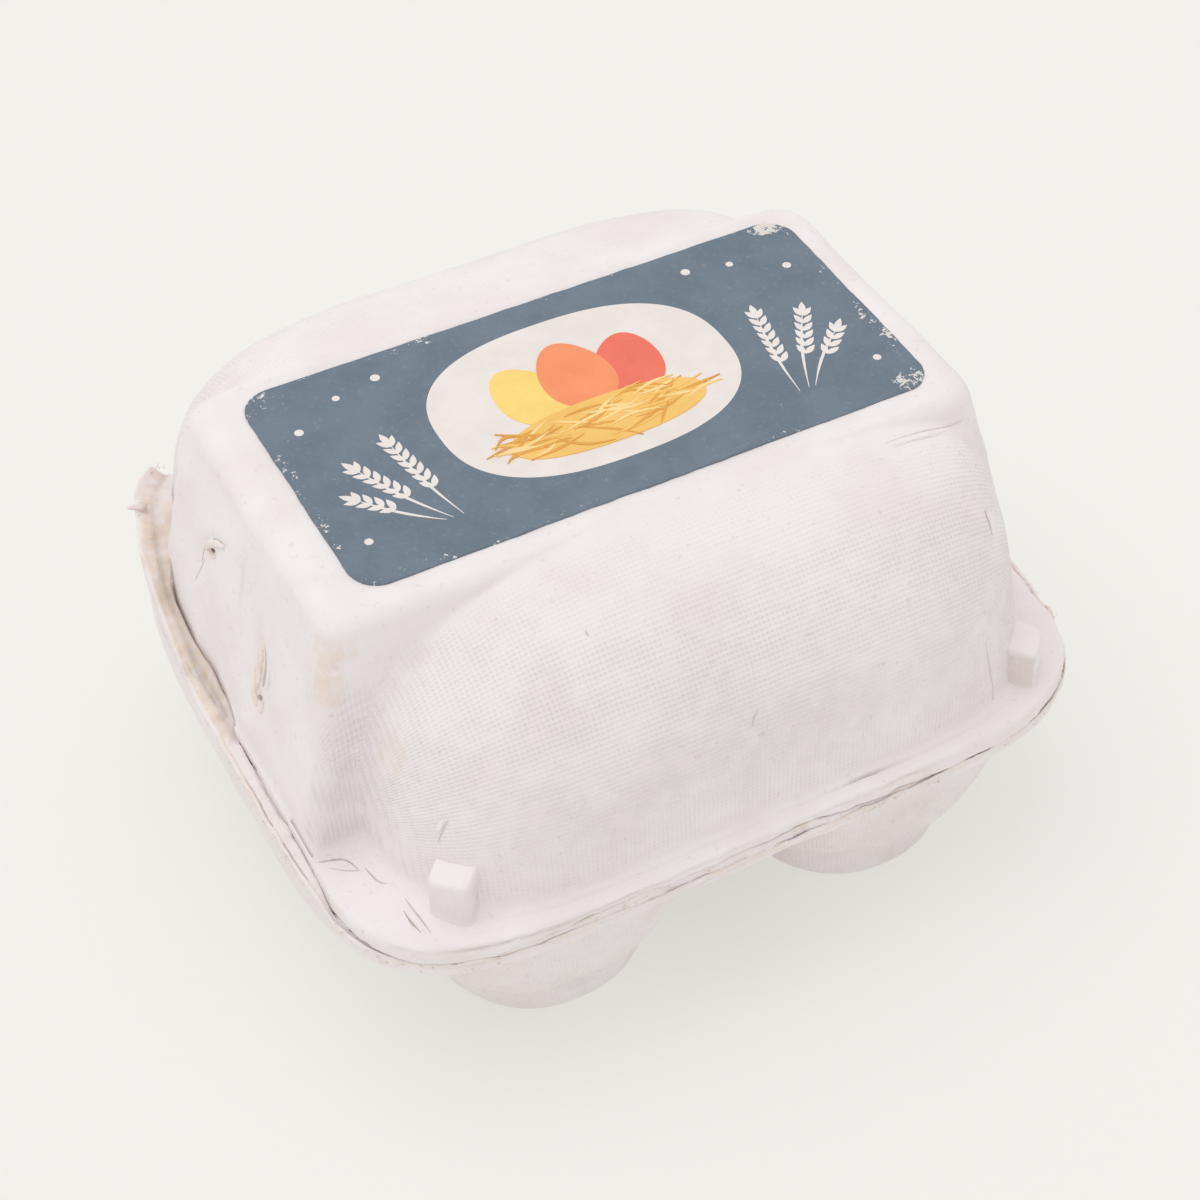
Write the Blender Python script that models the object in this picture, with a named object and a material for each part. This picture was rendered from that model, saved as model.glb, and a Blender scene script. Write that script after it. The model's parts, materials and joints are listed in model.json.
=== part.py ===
"""A shut four-cell egg carton of moulded pulp, with a paper label on its lid.

The long side runs along X and the front looks towards -Y. The carton stands on
the flat feet of its four cups, with the origin under its middle.
"""
import math

import bmesh
import bpy
import numpy as np

MM = 0.001

# Overall sizes, in millimetres
LENGTH = 118.0
DEPTH = 108.8
HEIGHT = 66.0
GAP = 0.3

# The seam between tray and lid, and the rims that meet there
SEAM_Z = 27.6
RIM_EXPONENT = (5.5, 3.3)
LID_RIM_DEPTH = 108.6
LID_RIM_LENGTH = 114.8
LID_RIM_EXPONENT = (6.0, 3.3)
LID_RIM_TOP = 31.0
LID_END_INSET = 1.2

# The lid's flat panel and end walls: half sizes at the top and at the foot. Their
# front corners are soft at the top and crisp at the foot, the back ones soft all over.
PANEL_HALF = (48.6, 25.0)
POST_HALF_LENGTH = 55.7
POST_HALF_DEPTH = (30.1, 27.2)
POST_EXPONENT_TOP = 16.0
POST_EXPONENT_FOOT = (80.0, 16.0)

# The two bulges over the cells: half sizes at the foot, and where they spring.
# The back one has fuller ends, so its values are the second of each pair.
BULGE_HALF = (49.0, 51.3)
BULGE_SPRING_Y = 23.6
BULGE_PROFILE = 2.2
BULGE_END_PROFILE = (3.4, 6.0)
BULGE_SQUARENESS_TOP = (3.0, 4.4)
BULGE_SQUARENESS_FOOT = (5.4, 6.0)
VALLEY_BLEND = (150.0, 50.0)

# The front bulge's right end is longer and fuller than its left end
RIGHT_END_HALF = 51.0
RIGHT_END_PROFILE = 6.0
RIGHT_END_SQUARENESS = 4.2
BACK_LEFT_HALF = 51.6
BACK_LEFT_SQUARENESS = (3.6, 4.8)
BACK_LEFT_POST_DEPTH = 30.2

# The two latch buttons at the front corners, left and right
BUTTON_CENTRES = ((-42.4, -45.1), (45.1, -45.7))
BUTTON_TOP = 38.0
BUTTON_SIDE = 6.4
BUTTON_TAPER = 0.8

# The tray's flange and its raised end lips, the left one curling up at the back
FLANGE_BOTTOM = 24.8
PLATE_BOTTOM = 24.2
PLATE_INSET = 6.0
LIP_WALL = 0.9
LIP_RISE_LEFT = 2.4
LIP_RISE_RIGHT = 1.4
LIP_CURL = 10.6
LIP_LEAN = 0.006
LIP_FRONT_END = (-46.0, -30.0)
LIP_CURL_START = (2.0, 34.0)
LIP_BACK_END = (41.0, 48.0)

# The four cups: centres and half sizes at the foot and at the top. The back pair
# is rounder and a little narrower at the top, to stay under the rounder rim there.
CUP_TOP = 25.6
CUP_CENTRE_FOOT = (25.0, 28.9)
CUP_CENTRE_TOP = (26.1, 27.7)
CUP_HALF_FOOT = (15.4, 18.0)
CUP_HALF_TOP = (25.7, 26.0)
CUP_EXPONENT_FOOT = 2.2
CUP_EXPONENT_TOP = (2.7, 2.3)
CUP_BACK_TRIM = 1.5
CUP_LEDGE_Z = 10.0
CUP_LEDGE = 0.45
CUP_SIDES = 40

# The label, set into a shallow recess of the panel
LABEL_HALF = (43.35, 20.9)
LABEL_CENTRE = (1.25, 0.45)
LABEL_CORNER = 4.4
LABEL_THICK = 0.6

OUTLINE_POINTS = 132
CORNER_RANGE = (math.radians(22.0), math.radians(50.0))
CORNER_DENSITY = 3.2

PULP_COLOUR = (0.80, 0.755, 0.745, 1.0)
LABEL_COLOUR = (0.125, 0.178, 0.222, 1.0)


def clear_scene():
    """Remove whatever the file holds, so that the model starts empty."""
    for item in list(bpy.data.objects):
        bpy.data.objects.remove(item, do_unlink=True)


def smooth_step(low, high, value):
    """0 below low, 1 above high, and a soft ramp between them."""
    t = np.clip((value - low) / (high - low), 0.0, 1.0)
    return t * t * (3.0 - 2.0 * t)


def outline_angles():
    """Angles round the carton, set closer together at its four corners."""
    fine = np.linspace(0.0, 2.0 * math.pi, 3601)
    folded = np.abs((fine + math.pi / 2.0) % math.pi - math.pi / 2.0)
    low, high = CORNER_RANGE
    near = smooth_step(low - 0.12, low, folded) * (1.0 - smooth_step(high, high + 0.12, folded))
    weight = 1.0 + CORNER_DENSITY * near
    steps = 0.5 * (weight[1:] + weight[:-1])
    total = np.concatenate([[0.0], np.cumsum(steps)])
    wanted = np.arange(OUTLINE_POINTS) / OUTLINE_POINTS * total[-1]
    return np.interp(wanted, total, fine)


ANGLES = outline_angles()
COS = np.cos(ANGLES)
SIN = np.sin(ANGLES)


def by_side(pair):
    """The first value along the front half of an outline, the second along the back."""
    return np.where(SIN < 0.0, pair[0], pair[1])


def superellipse(half_x, half_y, exponent):
    """Radius of a rounded rectangle at each of the outline's angles."""
    reach = np.abs(COS / half_x) ** exponent + np.abs(SIN / half_y) ** exponent
    return reach ** (-1.0 / exponent)


def blend(start, end, share):
    """The value that lies a share of the way from start to end."""
    return start + (end - start) * share


def ring(radius, z):
    """A closed row of points at the given radius and height, in metres."""
    height = np.broadcast_to(z, radius.shape)
    return np.stack([radius * COS, radius * SIN, height], 1) * MM


def loft(name, rings):
    """One closed solid through rings of equal length, listed from the bottom up."""
    shape = bmesh.new()
    rows = [[shape.verts.new(point) for point in points] for points in rings]
    count = len(rows[0])
    for lower, upper in zip(rows, rows[1:]):
        for i in range(count):
            j = (i + 1) % count
            shape.faces.new((lower[i], lower[j], upper[j], upper[i]))
    bmesh.ops.triangulate(shape, faces=shape.faces[:], quad_method='BEAUTY')
    shape.faces.new(rows[0][::-1])
    shape.faces.new(rows[-1])
    return finish_mesh(name, shape)


def finish_mesh(name, shape):
    """Turn a bmesh into an object of the scene."""
    mesh = bpy.data.meshes.new(name)
    shape.to_mesh(mesh)
    shape.free()
    item = bpy.data.objects.new(name, mesh)
    bpy.context.scene.collection.objects.link(item)
    return item


def as_tool(item):
    """Keep an object out of the model, as an operand of a Boolean."""
    item.hide_render = True
    item.display_type = 'WIRE'
    return item


def combine(item, operand, operation):
    """Add a Boolean that joins the operand to the item, or cuts it out."""
    modifier = item.modifiers.new(operand.name, 'BOOLEAN')
    modifier.operation = operation
    modifier.solver = 'EXACT'
    modifier.object = operand


def shade(item, sharp_degrees):
    """Smooth shading with creases at the sharper edges."""
    item.data.shade_smooth()
    item.data.set_sharp_from_angle(angle=math.radians(sharp_degrees))


def material(name, colour, roughness):
    """A plain surface with the given colour and roughness."""
    surface = bpy.data.materials.new(name)
    surface.use_nodes = True
    shader = surface.node_tree.nodes["Principled BSDF"]
    shader.inputs["Base Color"].default_value = colour
    shader.inputs["Roughness"].default_value = roughness
    shader.inputs["Metallic"].default_value = 0.0
    return surface


def post_outline(z):
    """The block of the flat panel and the end walls, which drafts outwards."""
    share = (HEIGHT - z) / (HEIGHT - LID_RIM_TOP)
    half_x = blend(PANEL_HALF[0], POST_HALF_LENGTH, share)
    back_left = (SIN > 0.0) & (COS < 0.0)
    foot_y = np.where(back_left, BACK_LEFT_POST_DEPTH, by_side(POST_HALF_DEPTH))
    half_y = blend(PANEL_HALF[1], foot_y, share)
    sharper = by_side(POST_EXPONENT_FOOT) / POST_EXPONENT_TOP
    return superellipse(half_x, half_y, POST_EXPONENT_TOP * sharper ** share)


def bulge_outline(z):
    """The two rounded bulges, front and back, as one pillow through the block."""
    rise = np.clip((z - LID_RIM_TOP) / (HEIGHT - LID_RIM_TOP), 0.0, 0.9995)
    swell = (1.0 - rise ** BULGE_PROFILE) ** (1.0 / BULGE_PROFILE)
    half_y = blend(BULGE_SPRING_Y, BULGE_HALF[1], swell)
    front_right = (SIN < 0.0) & (COS > 0.0)
    end = np.where(front_right, RIGHT_END_PROFILE, by_side(BULGE_END_PROFILE))
    back_left = (SIN > 0.0) & (COS < 0.0)
    widest = np.where(front_right, RIGHT_END_HALF, np.where(back_left, BACK_LEFT_HALF, BULGE_HALF[0]))
    half_x = widest * (1.0 - rise ** end) ** (1.0 / end)
    top = np.where(front_right, RIGHT_END_SQUARENESS, by_side(BULGE_SQUARENESS_TOP))
    top = np.where(back_left, BACK_LEFT_SQUARENESS[0], top)
    foot = np.where(back_left, BACK_LEFT_SQUARENESS[1], by_side(BULGE_SQUARENESS_FOOT))
    exponent = blend(top, foot, (1.0 - rise) ** 1.5)
    return superellipse(np.maximum(half_x, 8.0), half_y, exponent)


def lid_wall(z):
    """The lid's outline: block and bulges, with a soft valley where they meet."""
    rise = (z - LID_RIM_TOP) / (HEIGHT - LID_RIM_TOP)
    power = blend(VALLEY_BLEND[0], VALLEY_BLEND[1], rise)
    joined = post_outline(z) ** power + bulge_outline(z) ** power
    return joined ** (1.0 / power)


def tray_rim():
    """The outer edge of the tray's flange."""
    return superellipse(LENGTH / 2.0, DEPTH / 2.0, by_side(RIM_EXPONENT))


def lip_rise(rim):
    """How far the tray's lips stand above the seam, as far along the ends as they run."""
    y = rim * SIN
    left = LIP_RISE_LEFT + LIP_CURL * smooth_step(*LIP_CURL_START, y)
    rise = np.where(COS < 0.0, left, LIP_RISE_RIGHT)
    return rise * smooth_step(*LIP_FRONT_END, y) * (1.0 - smooth_step(*LIP_BACK_END, y))


def lid_rim():
    """The outer edge of the lid's flange, which tucks inside the lips at the ends."""
    exponent = by_side(LID_RIM_EXPONENT)
    plain = superellipse(LID_RIM_LENGTH / 2.0, LID_RIM_DEPTH / 2.0, exponent)
    corner = smooth_step(28.0, 40.0, -plain * SIN)
    half_x = LID_RIM_LENGTH / 2.0 - LID_END_INSET * (1.0 - corner)
    return superellipse(half_x, LID_RIM_DEPTH / 2.0, exponent)


def lid_rings():
    """Rings of the lid from the seam up over its flange, walls and rounded top."""
    rim = lid_rim()
    foot = lid_wall(LID_RIM_TOP)
    rings = [ring(rim - 0.4, SEAM_Z + GAP), ring(rim, SEAM_Z + GAP + 0.4)]
    for inset, z in ((0.2, 29.9), (0.9, 30.7), (1.9, 30.9)):
        rings.append(ring(np.maximum(rim - inset, foot + 0.1), z))
    rings.append(ring(np.maximum(foot, np.minimum(rim - 2.6, foot + 0.8)), LID_RIM_TOP - 0.05))
    for z in (31.6, 34.5, 39.5, 44.5, 49.5, 53.5, 56.5, 58.8, 60.5, 61.9, 63.0, 63.9):
        rings.append(ring(lid_wall(z), z))
    for z, inset in ((64.7, 0.25), (65.4, 0.8), (65.8, 1.6), (HEIGHT, 3.0)):
        rings.append(ring(lid_wall(z) - inset, z))
    return rings


def latch_button(name, centre):
    """A small tapered stud, set cornerwise on a front corner of the lid."""
    shape = bmesh.new()
    bottom = LID_RIM_TOP - 2.0
    corners = [(-1, -1), (1, -1), (1, 1), (-1, 1)]
    rows = []
    for z, scale in ((bottom, 1.0), (BUTTON_TOP, BUTTON_TAPER)):
        row = []
        for corner_x, corner_y in corners:
            across = corner_x * scale * BUTTON_SIDE / 2.0
            along = corner_y * scale * BUTTON_SIDE / 2.0
            x = centre[0] + (across - along) * math.sqrt(0.5)
            y = centre[1] + (across + along) * math.sqrt(0.5)
            row.append(shape.verts.new((x * MM, y * MM, z * MM)))
        rows.append(row)
    for i in range(4):
        j = (i + 1) % 4
        shape.faces.new((rows[0][i], rows[0][j], rows[1][j], rows[1][i]))
    shape.faces.new(rows[0][::-1])
    shape.faces.new(rows[1])
    return as_tool(finish_mesh(name, shape))


def rounded_plate(name, grow, bottom, top):
    """A plate of the label's outline, grown by an amount, between two heights."""
    half_x = LABEL_HALF[0] + grow
    half_y = LABEL_HALF[1] + grow
    corner = LABEL_CORNER + grow
    points = []
    for quarter in range(4):
        sign_x = 1 if quarter in (0, 3) else -1
        sign_y = 1 if quarter in (0, 1) else -1
        for step in range(9):
            turn = math.radians(90.0 * quarter + 90.0 * step / 8.0)
            x = LABEL_CENTRE[0] + sign_x * (half_x - corner) + corner * math.cos(turn)
            y = LABEL_CENTRE[1] + sign_y * (half_y - corner) + corner * math.sin(turn)
            points.append((x, y))
    flat = np.array(points)
    rings = []
    for z in (bottom, top):
        heights = np.full((len(flat), 1), z)
        rings.append(np.hstack([flat, heights]) * MM)
    return loft(name, rings)


def make_lid(surface):
    """The lid: one solid with bulges, valleys, flange, buttons and label recess."""
    lid = loft("lid", lid_rings())
    for name, centre in zip(("button_left", "button_right"), BUTTON_CENTRES):
        combine(lid, latch_button(name, centre), 'UNION')
    floor_z = HEIGHT - LABEL_THICK - GAP
    recess = as_tool(rounded_plate("label_recess", GAP, floor_z, HEIGHT + 1.0))
    combine(lid, recess, 'DIFFERENCE')
    lid.data.materials.append(surface)
    shade(lid, 38.0)


def make_label(surface):
    """The paper label, level with the panel round it."""
    label = rounded_plate("label", 0.0, HEIGHT - LABEL_THICK, HEIGHT)
    label.data.materials.append(surface)
    shade(label, 38.0)


def tray_rings():
    """Rings of the tray's flange, over the lips and down to the flat inside."""
    rim = tray_rim()
    lid = np.maximum(lid_rim(), lid_wall(LID_RIM_TOP))
    inner = np.minimum(lid + 0.5, rim - LIP_WALL)
    clearance = rim - LIP_WALL - lid
    rise = lip_rise(rim) * smooth_step(0.35, 1.0, clearance)
    top = SEAM_Z + rise
    lean = LIP_LEAN * np.maximum(rise - LIP_RISE_LEFT, 0.0) ** 2
    return [
        ring(rim - PLATE_INSET, PLATE_BOTTOM),
        ring(rim - 1.0, FLANGE_BOTTOM),
        ring(rim - 0.2, FLANGE_BOTTOM + 0.6),
        ring(rim, SEAM_Z - 0.5),
        ring(rim + lean - 0.1, top - 0.3),
        ring(rim + lean - 0.35, top),
        ring(inner + lean + 0.2, top),
        ring(inner + 0.4 * lean, SEAM_Z + 0.5 * rise),
        ring(inner - 0.15, np.full(OUTLINE_POINTS, SEAM_Z)),
    ]


def cup_ring(sign_x, sign_y, z, inset):
    """One level of a cup: round at the foot, squarer and wider towards the rim."""
    share = z / CUP_TOP
    centre = [blend(CUP_CENTRE_FOOT[k], CUP_CENTRE_TOP[k], share) for k in (0, 1)]
    back = int(sign_y > 0)
    trim = inset + CUP_BACK_TRIM * back * share
    half = [blend(CUP_HALF_FOOT[k], CUP_HALF_TOP[k], share) - trim for k in (0, 1)]
    power = 2.0 / blend(CUP_EXPONENT_FOOT, CUP_EXPONENT_TOP[back], share)
    points = []
    for i in range(CUP_SIDES):
        turn = 2.0 * math.pi * i / CUP_SIDES
        across = math.copysign(abs(math.cos(turn)) ** power, math.cos(turn))
        along = math.copysign(abs(math.sin(turn)) ** power, math.sin(turn))
        x = sign_x * centre[0] + half[0] * across
        y = sign_y * centre[1] + half[1] * along
        points.append((x * MM, y * MM, z * MM))
    return points


def cup(name, sign_x, sign_y):
    """A tapered cup with a soft foot and a small ledge half way up its wall."""
    levels = [(0.0, 1.6), (0.35, 0.7), (1.2, 0.1), (CUP_LEDGE_Z - 1.2, CUP_LEDGE)]
    levels += [(CUP_LEDGE_Z + 0.6, -CUP_LEDGE), (17.0, -0.2), (22.0, 0.0), (CUP_TOP, 0.0)]
    return as_tool(loft(name, [cup_ring(sign_x, sign_y, z, inset) for z, inset in levels]))


def make_tray(surface):
    """The tray: one solid of flange, end lips and four cups."""
    tray = loft("tray", tray_rings())
    for sign_y, row in ((-1, "front"), (1, "back")):
        for sign_x, side in ((-1, "left"), (1, "right")):
            combine(tray, cup("cup_" + row + "_" + side, sign_x, sign_y), 'UNION')
    tray.data.materials.append(surface)
    shade(tray, 38.0)


def main():
    """Build the carton."""
    clear_scene()
    pulp = material("pulp", PULP_COLOUR, 0.9)
    paper = material("label_paper", LABEL_COLOUR, 0.6)
    make_tray(pulp)
    make_lid(pulp)
    make_label(paper)


main()
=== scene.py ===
"""The looks of a shut egg carton: moulded pulp lid and tray, printed paper label."""
import json
import math

import bpy
import numpy as np
from mathutils import Matrix, Vector

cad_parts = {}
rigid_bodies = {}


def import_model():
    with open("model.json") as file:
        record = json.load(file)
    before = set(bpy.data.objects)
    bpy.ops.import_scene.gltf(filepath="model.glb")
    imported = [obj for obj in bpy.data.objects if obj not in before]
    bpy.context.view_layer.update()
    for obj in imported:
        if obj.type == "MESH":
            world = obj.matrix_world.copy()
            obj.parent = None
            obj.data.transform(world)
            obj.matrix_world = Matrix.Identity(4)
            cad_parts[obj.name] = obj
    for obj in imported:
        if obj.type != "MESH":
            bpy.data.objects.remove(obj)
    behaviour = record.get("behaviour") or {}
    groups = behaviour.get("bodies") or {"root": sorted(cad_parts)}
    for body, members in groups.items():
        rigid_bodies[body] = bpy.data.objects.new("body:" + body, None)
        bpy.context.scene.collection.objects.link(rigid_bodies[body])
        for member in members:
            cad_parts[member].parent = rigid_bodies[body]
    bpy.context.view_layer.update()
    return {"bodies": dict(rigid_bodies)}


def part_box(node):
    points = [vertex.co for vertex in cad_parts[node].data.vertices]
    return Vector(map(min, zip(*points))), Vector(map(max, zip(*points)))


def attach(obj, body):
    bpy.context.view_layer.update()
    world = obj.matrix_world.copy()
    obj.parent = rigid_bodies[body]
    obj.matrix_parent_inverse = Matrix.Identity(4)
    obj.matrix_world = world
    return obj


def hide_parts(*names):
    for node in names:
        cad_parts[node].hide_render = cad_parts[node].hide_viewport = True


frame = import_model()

MM = 0.001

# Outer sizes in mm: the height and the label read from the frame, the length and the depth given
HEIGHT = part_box("lid")[1].z / MM
LENGTH = 118.0
DEPTH = 108.8
LABEL_LOW, LABEL_HIGH = np.array(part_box("label")) / MM
LABEL_HALF = (LABEL_HIGH - LABEL_LOW)[:2] / 2.0
LABEL_CENTRE = (LABEL_HIGH + LABEL_LOW)[:2] / 2.0
LABEL_TOP = LABEL_HIGH[2]
LABEL_CORNER = 4.4

# Camera, fitted to the photo: angles in degrees, lengths in mm
CAMERA_AZIMUTH = -28.05
CAMERA_ELEVATION = 45.7
CAMERA_ROLL = -0.16
CAMERA_DISTANCE = 358.5
CAMERA_TARGET = (-0.99, -7.36, 33.0)
CAMERA_LENS = 74.72
CAMERA_SENSOR = 36.0

# The lid's forms, as in the construction: front value first, back value second
SEAM_Z = 27.6
GAP = 0.3
RIM_EXPONENT = (5.5, 3.3)
LID_RIM_DEPTH = 108.6
LID_RIM_LENGTH = 114.8
LID_RIM_EXPONENT = (6.0, 3.3)
LID_RIM_TOP = 31.0
LID_END_INSET = 1.2
PANEL_HALF = (48.6, 25.0)
POST_HALF_LENGTH = 55.7
POST_HALF_DEPTH = (30.1, 27.2)
POST_EXPONENT_TOP = 16.0
POST_EXPONENT_FOOT = (80.0, 16.0)
BULGE_HALF = (49.0, 51.3)
BULGE_SPRING_Y = 23.6
BULGE_PROFILE = 2.2
BULGE_END_PROFILE = (3.4, 6.0)
BULGE_SQUARENESS_TOP = (3.0, 4.4)
BULGE_SQUARENESS_FOOT = (5.4, 6.0)
VALLEY_BLEND = (150.0, 50.0)
RIGHT_END_HALF = 51.0
RIGHT_END_PROFILE = 6.0
RIGHT_END_SQUARENESS = 4.2
BACK_LEFT_HALF = 51.6
BACK_LEFT_SQUARENESS = (3.6, 4.8)
BACK_LEFT_POST_DEPTH = 30.2
PANEL_ROUND = 3.0
PANEL_ROUND_HEIGHT = 2.1
PANEL_DROP = 0.35

# The lid's flange: its rounded edge and the fillet at the walls' foot
FLANGE_TOP = 30.85
FLANGE_EDGE_HALF = (1.2, 1.5)
FILLET = 1.6

# The latch buttons on the lid's front corners, left and right: places, the top's height,
# half its width and depth, how much it slopes, and how much wider the foot is
BUTTON_CENTRES = ((-42.4, -45.1), (45.1, -45.7))
BUTTON_TOP = 38.0
BUTTON_HALF = (2.8, 2.6)
BUTTON_SLOPE = 0.16
BUTTON_DRAFT = 1.12
BUTTON_EXPONENT = 5.0

# The tray's flange and its lips
PLATE_BOTTOM = 24.2
PLATE_INSET = 6.0
FLANGE_BOTTOM = 24.8
LIP_WALL = 0.9
LIP_RISE_LEFT = 2.4
LIP_RISE_RIGHT = 1.4
LIP_CURL = 10.6
LIP_LEAN = 0.006
LIP_FRONT_END = (-46.0, -30.0)
LIP_CURL_START = (2.0, 34.0)
LIP_BACK_END = (41.5, 50.0)

# The rounded top of the lips: inwards from the rim, and down from the top
LIP_ROUND = ((0.18, 0.08), (0.42, 0.0), (0.68, 0.04))

# The torn layer that folds from the left lip up against the lid: place along the lip with
# its height at the lid, and with the width of the crack beside the lid, in mm
WEB_HEIGHT = (
    (-5.0, 30.6), (0.0, 32.4), (5.0, 34.0), (12.0, 34.2), (19.5, 35.6), (24.5, 39.0), (32.0, 40.3),
    (38.0, 40.5), (42.0, 39.2), (46.0, 36.0), (50.0, 31.0),
)
WEB_CRACK = ((-5.0, 0.1), (0.0, 0.2), (5.0, 0.6), (14.0, 1.1), (22.0, 1.3), (25.5, 0.15), (50.0, 0.0))
WEB_SPAN = ((-6.0, -2.0), (43.0, 47.5))

# The four cups
CUP_TOP = 25.6
CUP_CENTRE_FOOT = (25.0, 28.9)
CUP_CENTRE_TOP = (26.1, 27.7)
CUP_HALF_FOOT = (15.4, 18.0)
CUP_HALF_TOP = (25.7, 26.0)
CUP_EXPONENT_FOOT = 2.2
CUP_EXPONENT_TOP = (2.7, 2.3)
CUP_BACK_TRIM = 1.5
CUP_LEDGE_Z = 10.0
CUP_LEDGE = 0.45

# Mesh density
COLUMNS = 880
CORNER_RANGE = (math.radians(22.0), math.radians(50.0))
CORNER_DENSITY = 2.2
WALL_ROWS = 62
CUP_COLUMNS = 150
CUP_ROWS = 46
BUTTON_COLUMNS = 120

# Rows of the tray's skin up to where the torn layer meets the lid
OUTER_ROWS = 41

# Numbers of loose fibres and of drawn straws
FIBRE_COUNT = 420
STRAW_COUNT = 70

# The wire mesh of the mould, as pressed into the pulp: pitch in mm
MESH_PITCH_ALONG = 0.73
MESH_PITCH_ACROSS = 0.68

# Seeds of the random draws
SEED_LID = 11
SEED_TRAY = 23
SEED_SEAM = 37
SEED_FIBRES = 41
SEED_PRINT = 53


def ramp(low, high, value):
    """0 below low, 1 above high, and a soft ramp between them."""
    t = np.clip((value - low) / (high - low), 0.0, 1.0)
    return t * t * (3.0 - 2.0 * t)


def blend(start, end, share):
    """The value that lies a share of the way from start to end."""
    return start + (end - start) * share


def band(value, centre, width):
    """1 at the centre of a band, falling off smoothly to either side."""
    return np.exp(-((value - centre) / width) ** 2)


def band_along(points, path, width):
    """1 on a path, falling off smoothly away from it."""
    return band(path_distance(points, path), 0.0, width)


def signed_power(value, power):
    """A power that keeps the sign of its base."""
    return np.copysign(np.abs(value) ** power, value)


def rounded_ring(turns, exponent):
    """Unit places round a rounded square, one for each turn."""
    return signed_power(np.cos(turns), 2.0 / exponent), signed_power(np.sin(turns), 2.0 / exponent)


def shares(count):
    """Evenly spaced shares from 0 to 1."""
    return np.linspace(0.0, 1.0, count)


def full_turn(count):
    """Evenly spaced angles round a full turn."""
    return np.arange(count) / count * 2.0 * math.pi


def run_along(steps):
    """The length run through at each place, from the steps between places."""
    return np.concatenate([[0.0], np.cumsum(steps)])


def table_at(table, places):
    """A table's value at each place, on straight lines between its rows."""
    return np.interp(places, *np.transpose(table))


NOISE_TURN = np.array(Matrix.Rotation(0.7, 3, Vector((1.0, 2.0, 3.0)).normalized()))
NOISE_CELLS = 64


def noise(points, size, seed):
    """Smooth noise between -1 and 1, with lumps of about the given size in mm."""
    table = np.random.default_rng(seed).uniform(-1.0, 1.0, (NOISE_CELLS,) * 3)
    scaled = points.reshape(-1, 3) @ NOISE_TURN / size + 1000.0
    cell = np.floor(scaled).astype(int)
    part = scaled - cell
    part = part * part * (3.0 - 2.0 * part)
    total = np.zeros(len(scaled))
    for corner in np.ndindex(2, 2, 2):
        weight = np.ones(len(scaled))
        for axis, side in enumerate(corner):
            weight *= part[:, axis] if side else 1.0 - part[:, axis]
        index = [(cell[:, axis] + corner[axis]) % NOISE_CELLS for axis in range(3)]
        total += weight * table[index[0], index[1], index[2]]
    return total.reshape(points.shape[:-1])


def noises(points, size, seed, layers=3):
    """Noise with finer and weaker layers on top of each other."""
    total = 0.0
    for layer in range(layers):
        total = total + noise(points, size / 2.1 ** layer, seed + layer) * 0.5 ** layer
    return total


def outline_angles(count):
    """Angles round the carton, closer together at the corners, the front and the left end."""
    fine = np.linspace(0.0, 2.0 * math.pi, 7201)
    folded = np.abs((fine + math.pi / 2.0) % math.pi - math.pi / 2.0)
    low, high = CORNER_RANGE
    near = ramp(low - 0.12, low, folded) * (1.0 - ramp(high, high + 0.12, folded))
    front = ramp(-0.2, 0.2, -np.sin(fine))
    left = ramp(0.82, 0.92, -np.cos(fine))
    weight = (1.0 + CORNER_DENSITY * near + 1.0 * left) * (0.7 + 0.5 * front)
    steps = 0.5 * (weight[1:] + weight[:-1])
    total = run_along(steps)
    wanted = np.arange(count) / count * total[-1]
    return np.interp(wanted, total, fine)


ANGLES = outline_angles(COLUMNS)
COS = np.cos(ANGLES)
SIN = np.sin(ANGLES)

# Places round a circle of 55 mm, for noise that runs along the seam
ROUND = np.stack([COS, SIN, 0.0 * COS], 1) * 55.0

# Which of the outline's angles lie at two of its corners
BACK_LEFT = (SIN > 0.0) & (COS < 0.0)
FRONT_RIGHT = (SIN < 0.0) & (COS > 0.0)


def by_side(pair):
    """The first value along the front half of an outline, the second along the back."""
    return np.where(SIN < 0.0, pair[0], pair[1])


def superellipse(half_x, half_y, exponent):
    """Radius of a rounded rectangle at each of the outline's angles."""
    reach = np.abs(COS / half_x) ** exponent + np.abs(SIN / half_y) ** exponent
    return reach ** (-1.0 / exponent)


def ring(radius, z):
    """A closed row of points at the given radius and height, in mm."""
    height = np.broadcast_to(z, radius.shape)
    return np.stack([radius * COS, radius * SIN, height], 1)


def post_outline(z):
    """The block of the flat panel and the end walls, which drafts outwards."""
    share = (HEIGHT - z) / (HEIGHT - LID_RIM_TOP)
    half_x = blend(PANEL_HALF[0], POST_HALF_LENGTH, share)
    foot_y = np.where(BACK_LEFT, BACK_LEFT_POST_DEPTH, by_side(POST_HALF_DEPTH))
    half_y = blend(PANEL_HALF[1], foot_y, share)
    sharper = by_side(POST_EXPONENT_FOOT) / POST_EXPONENT_TOP
    return superellipse(half_x, half_y, POST_EXPONENT_TOP * sharper ** share)


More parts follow.
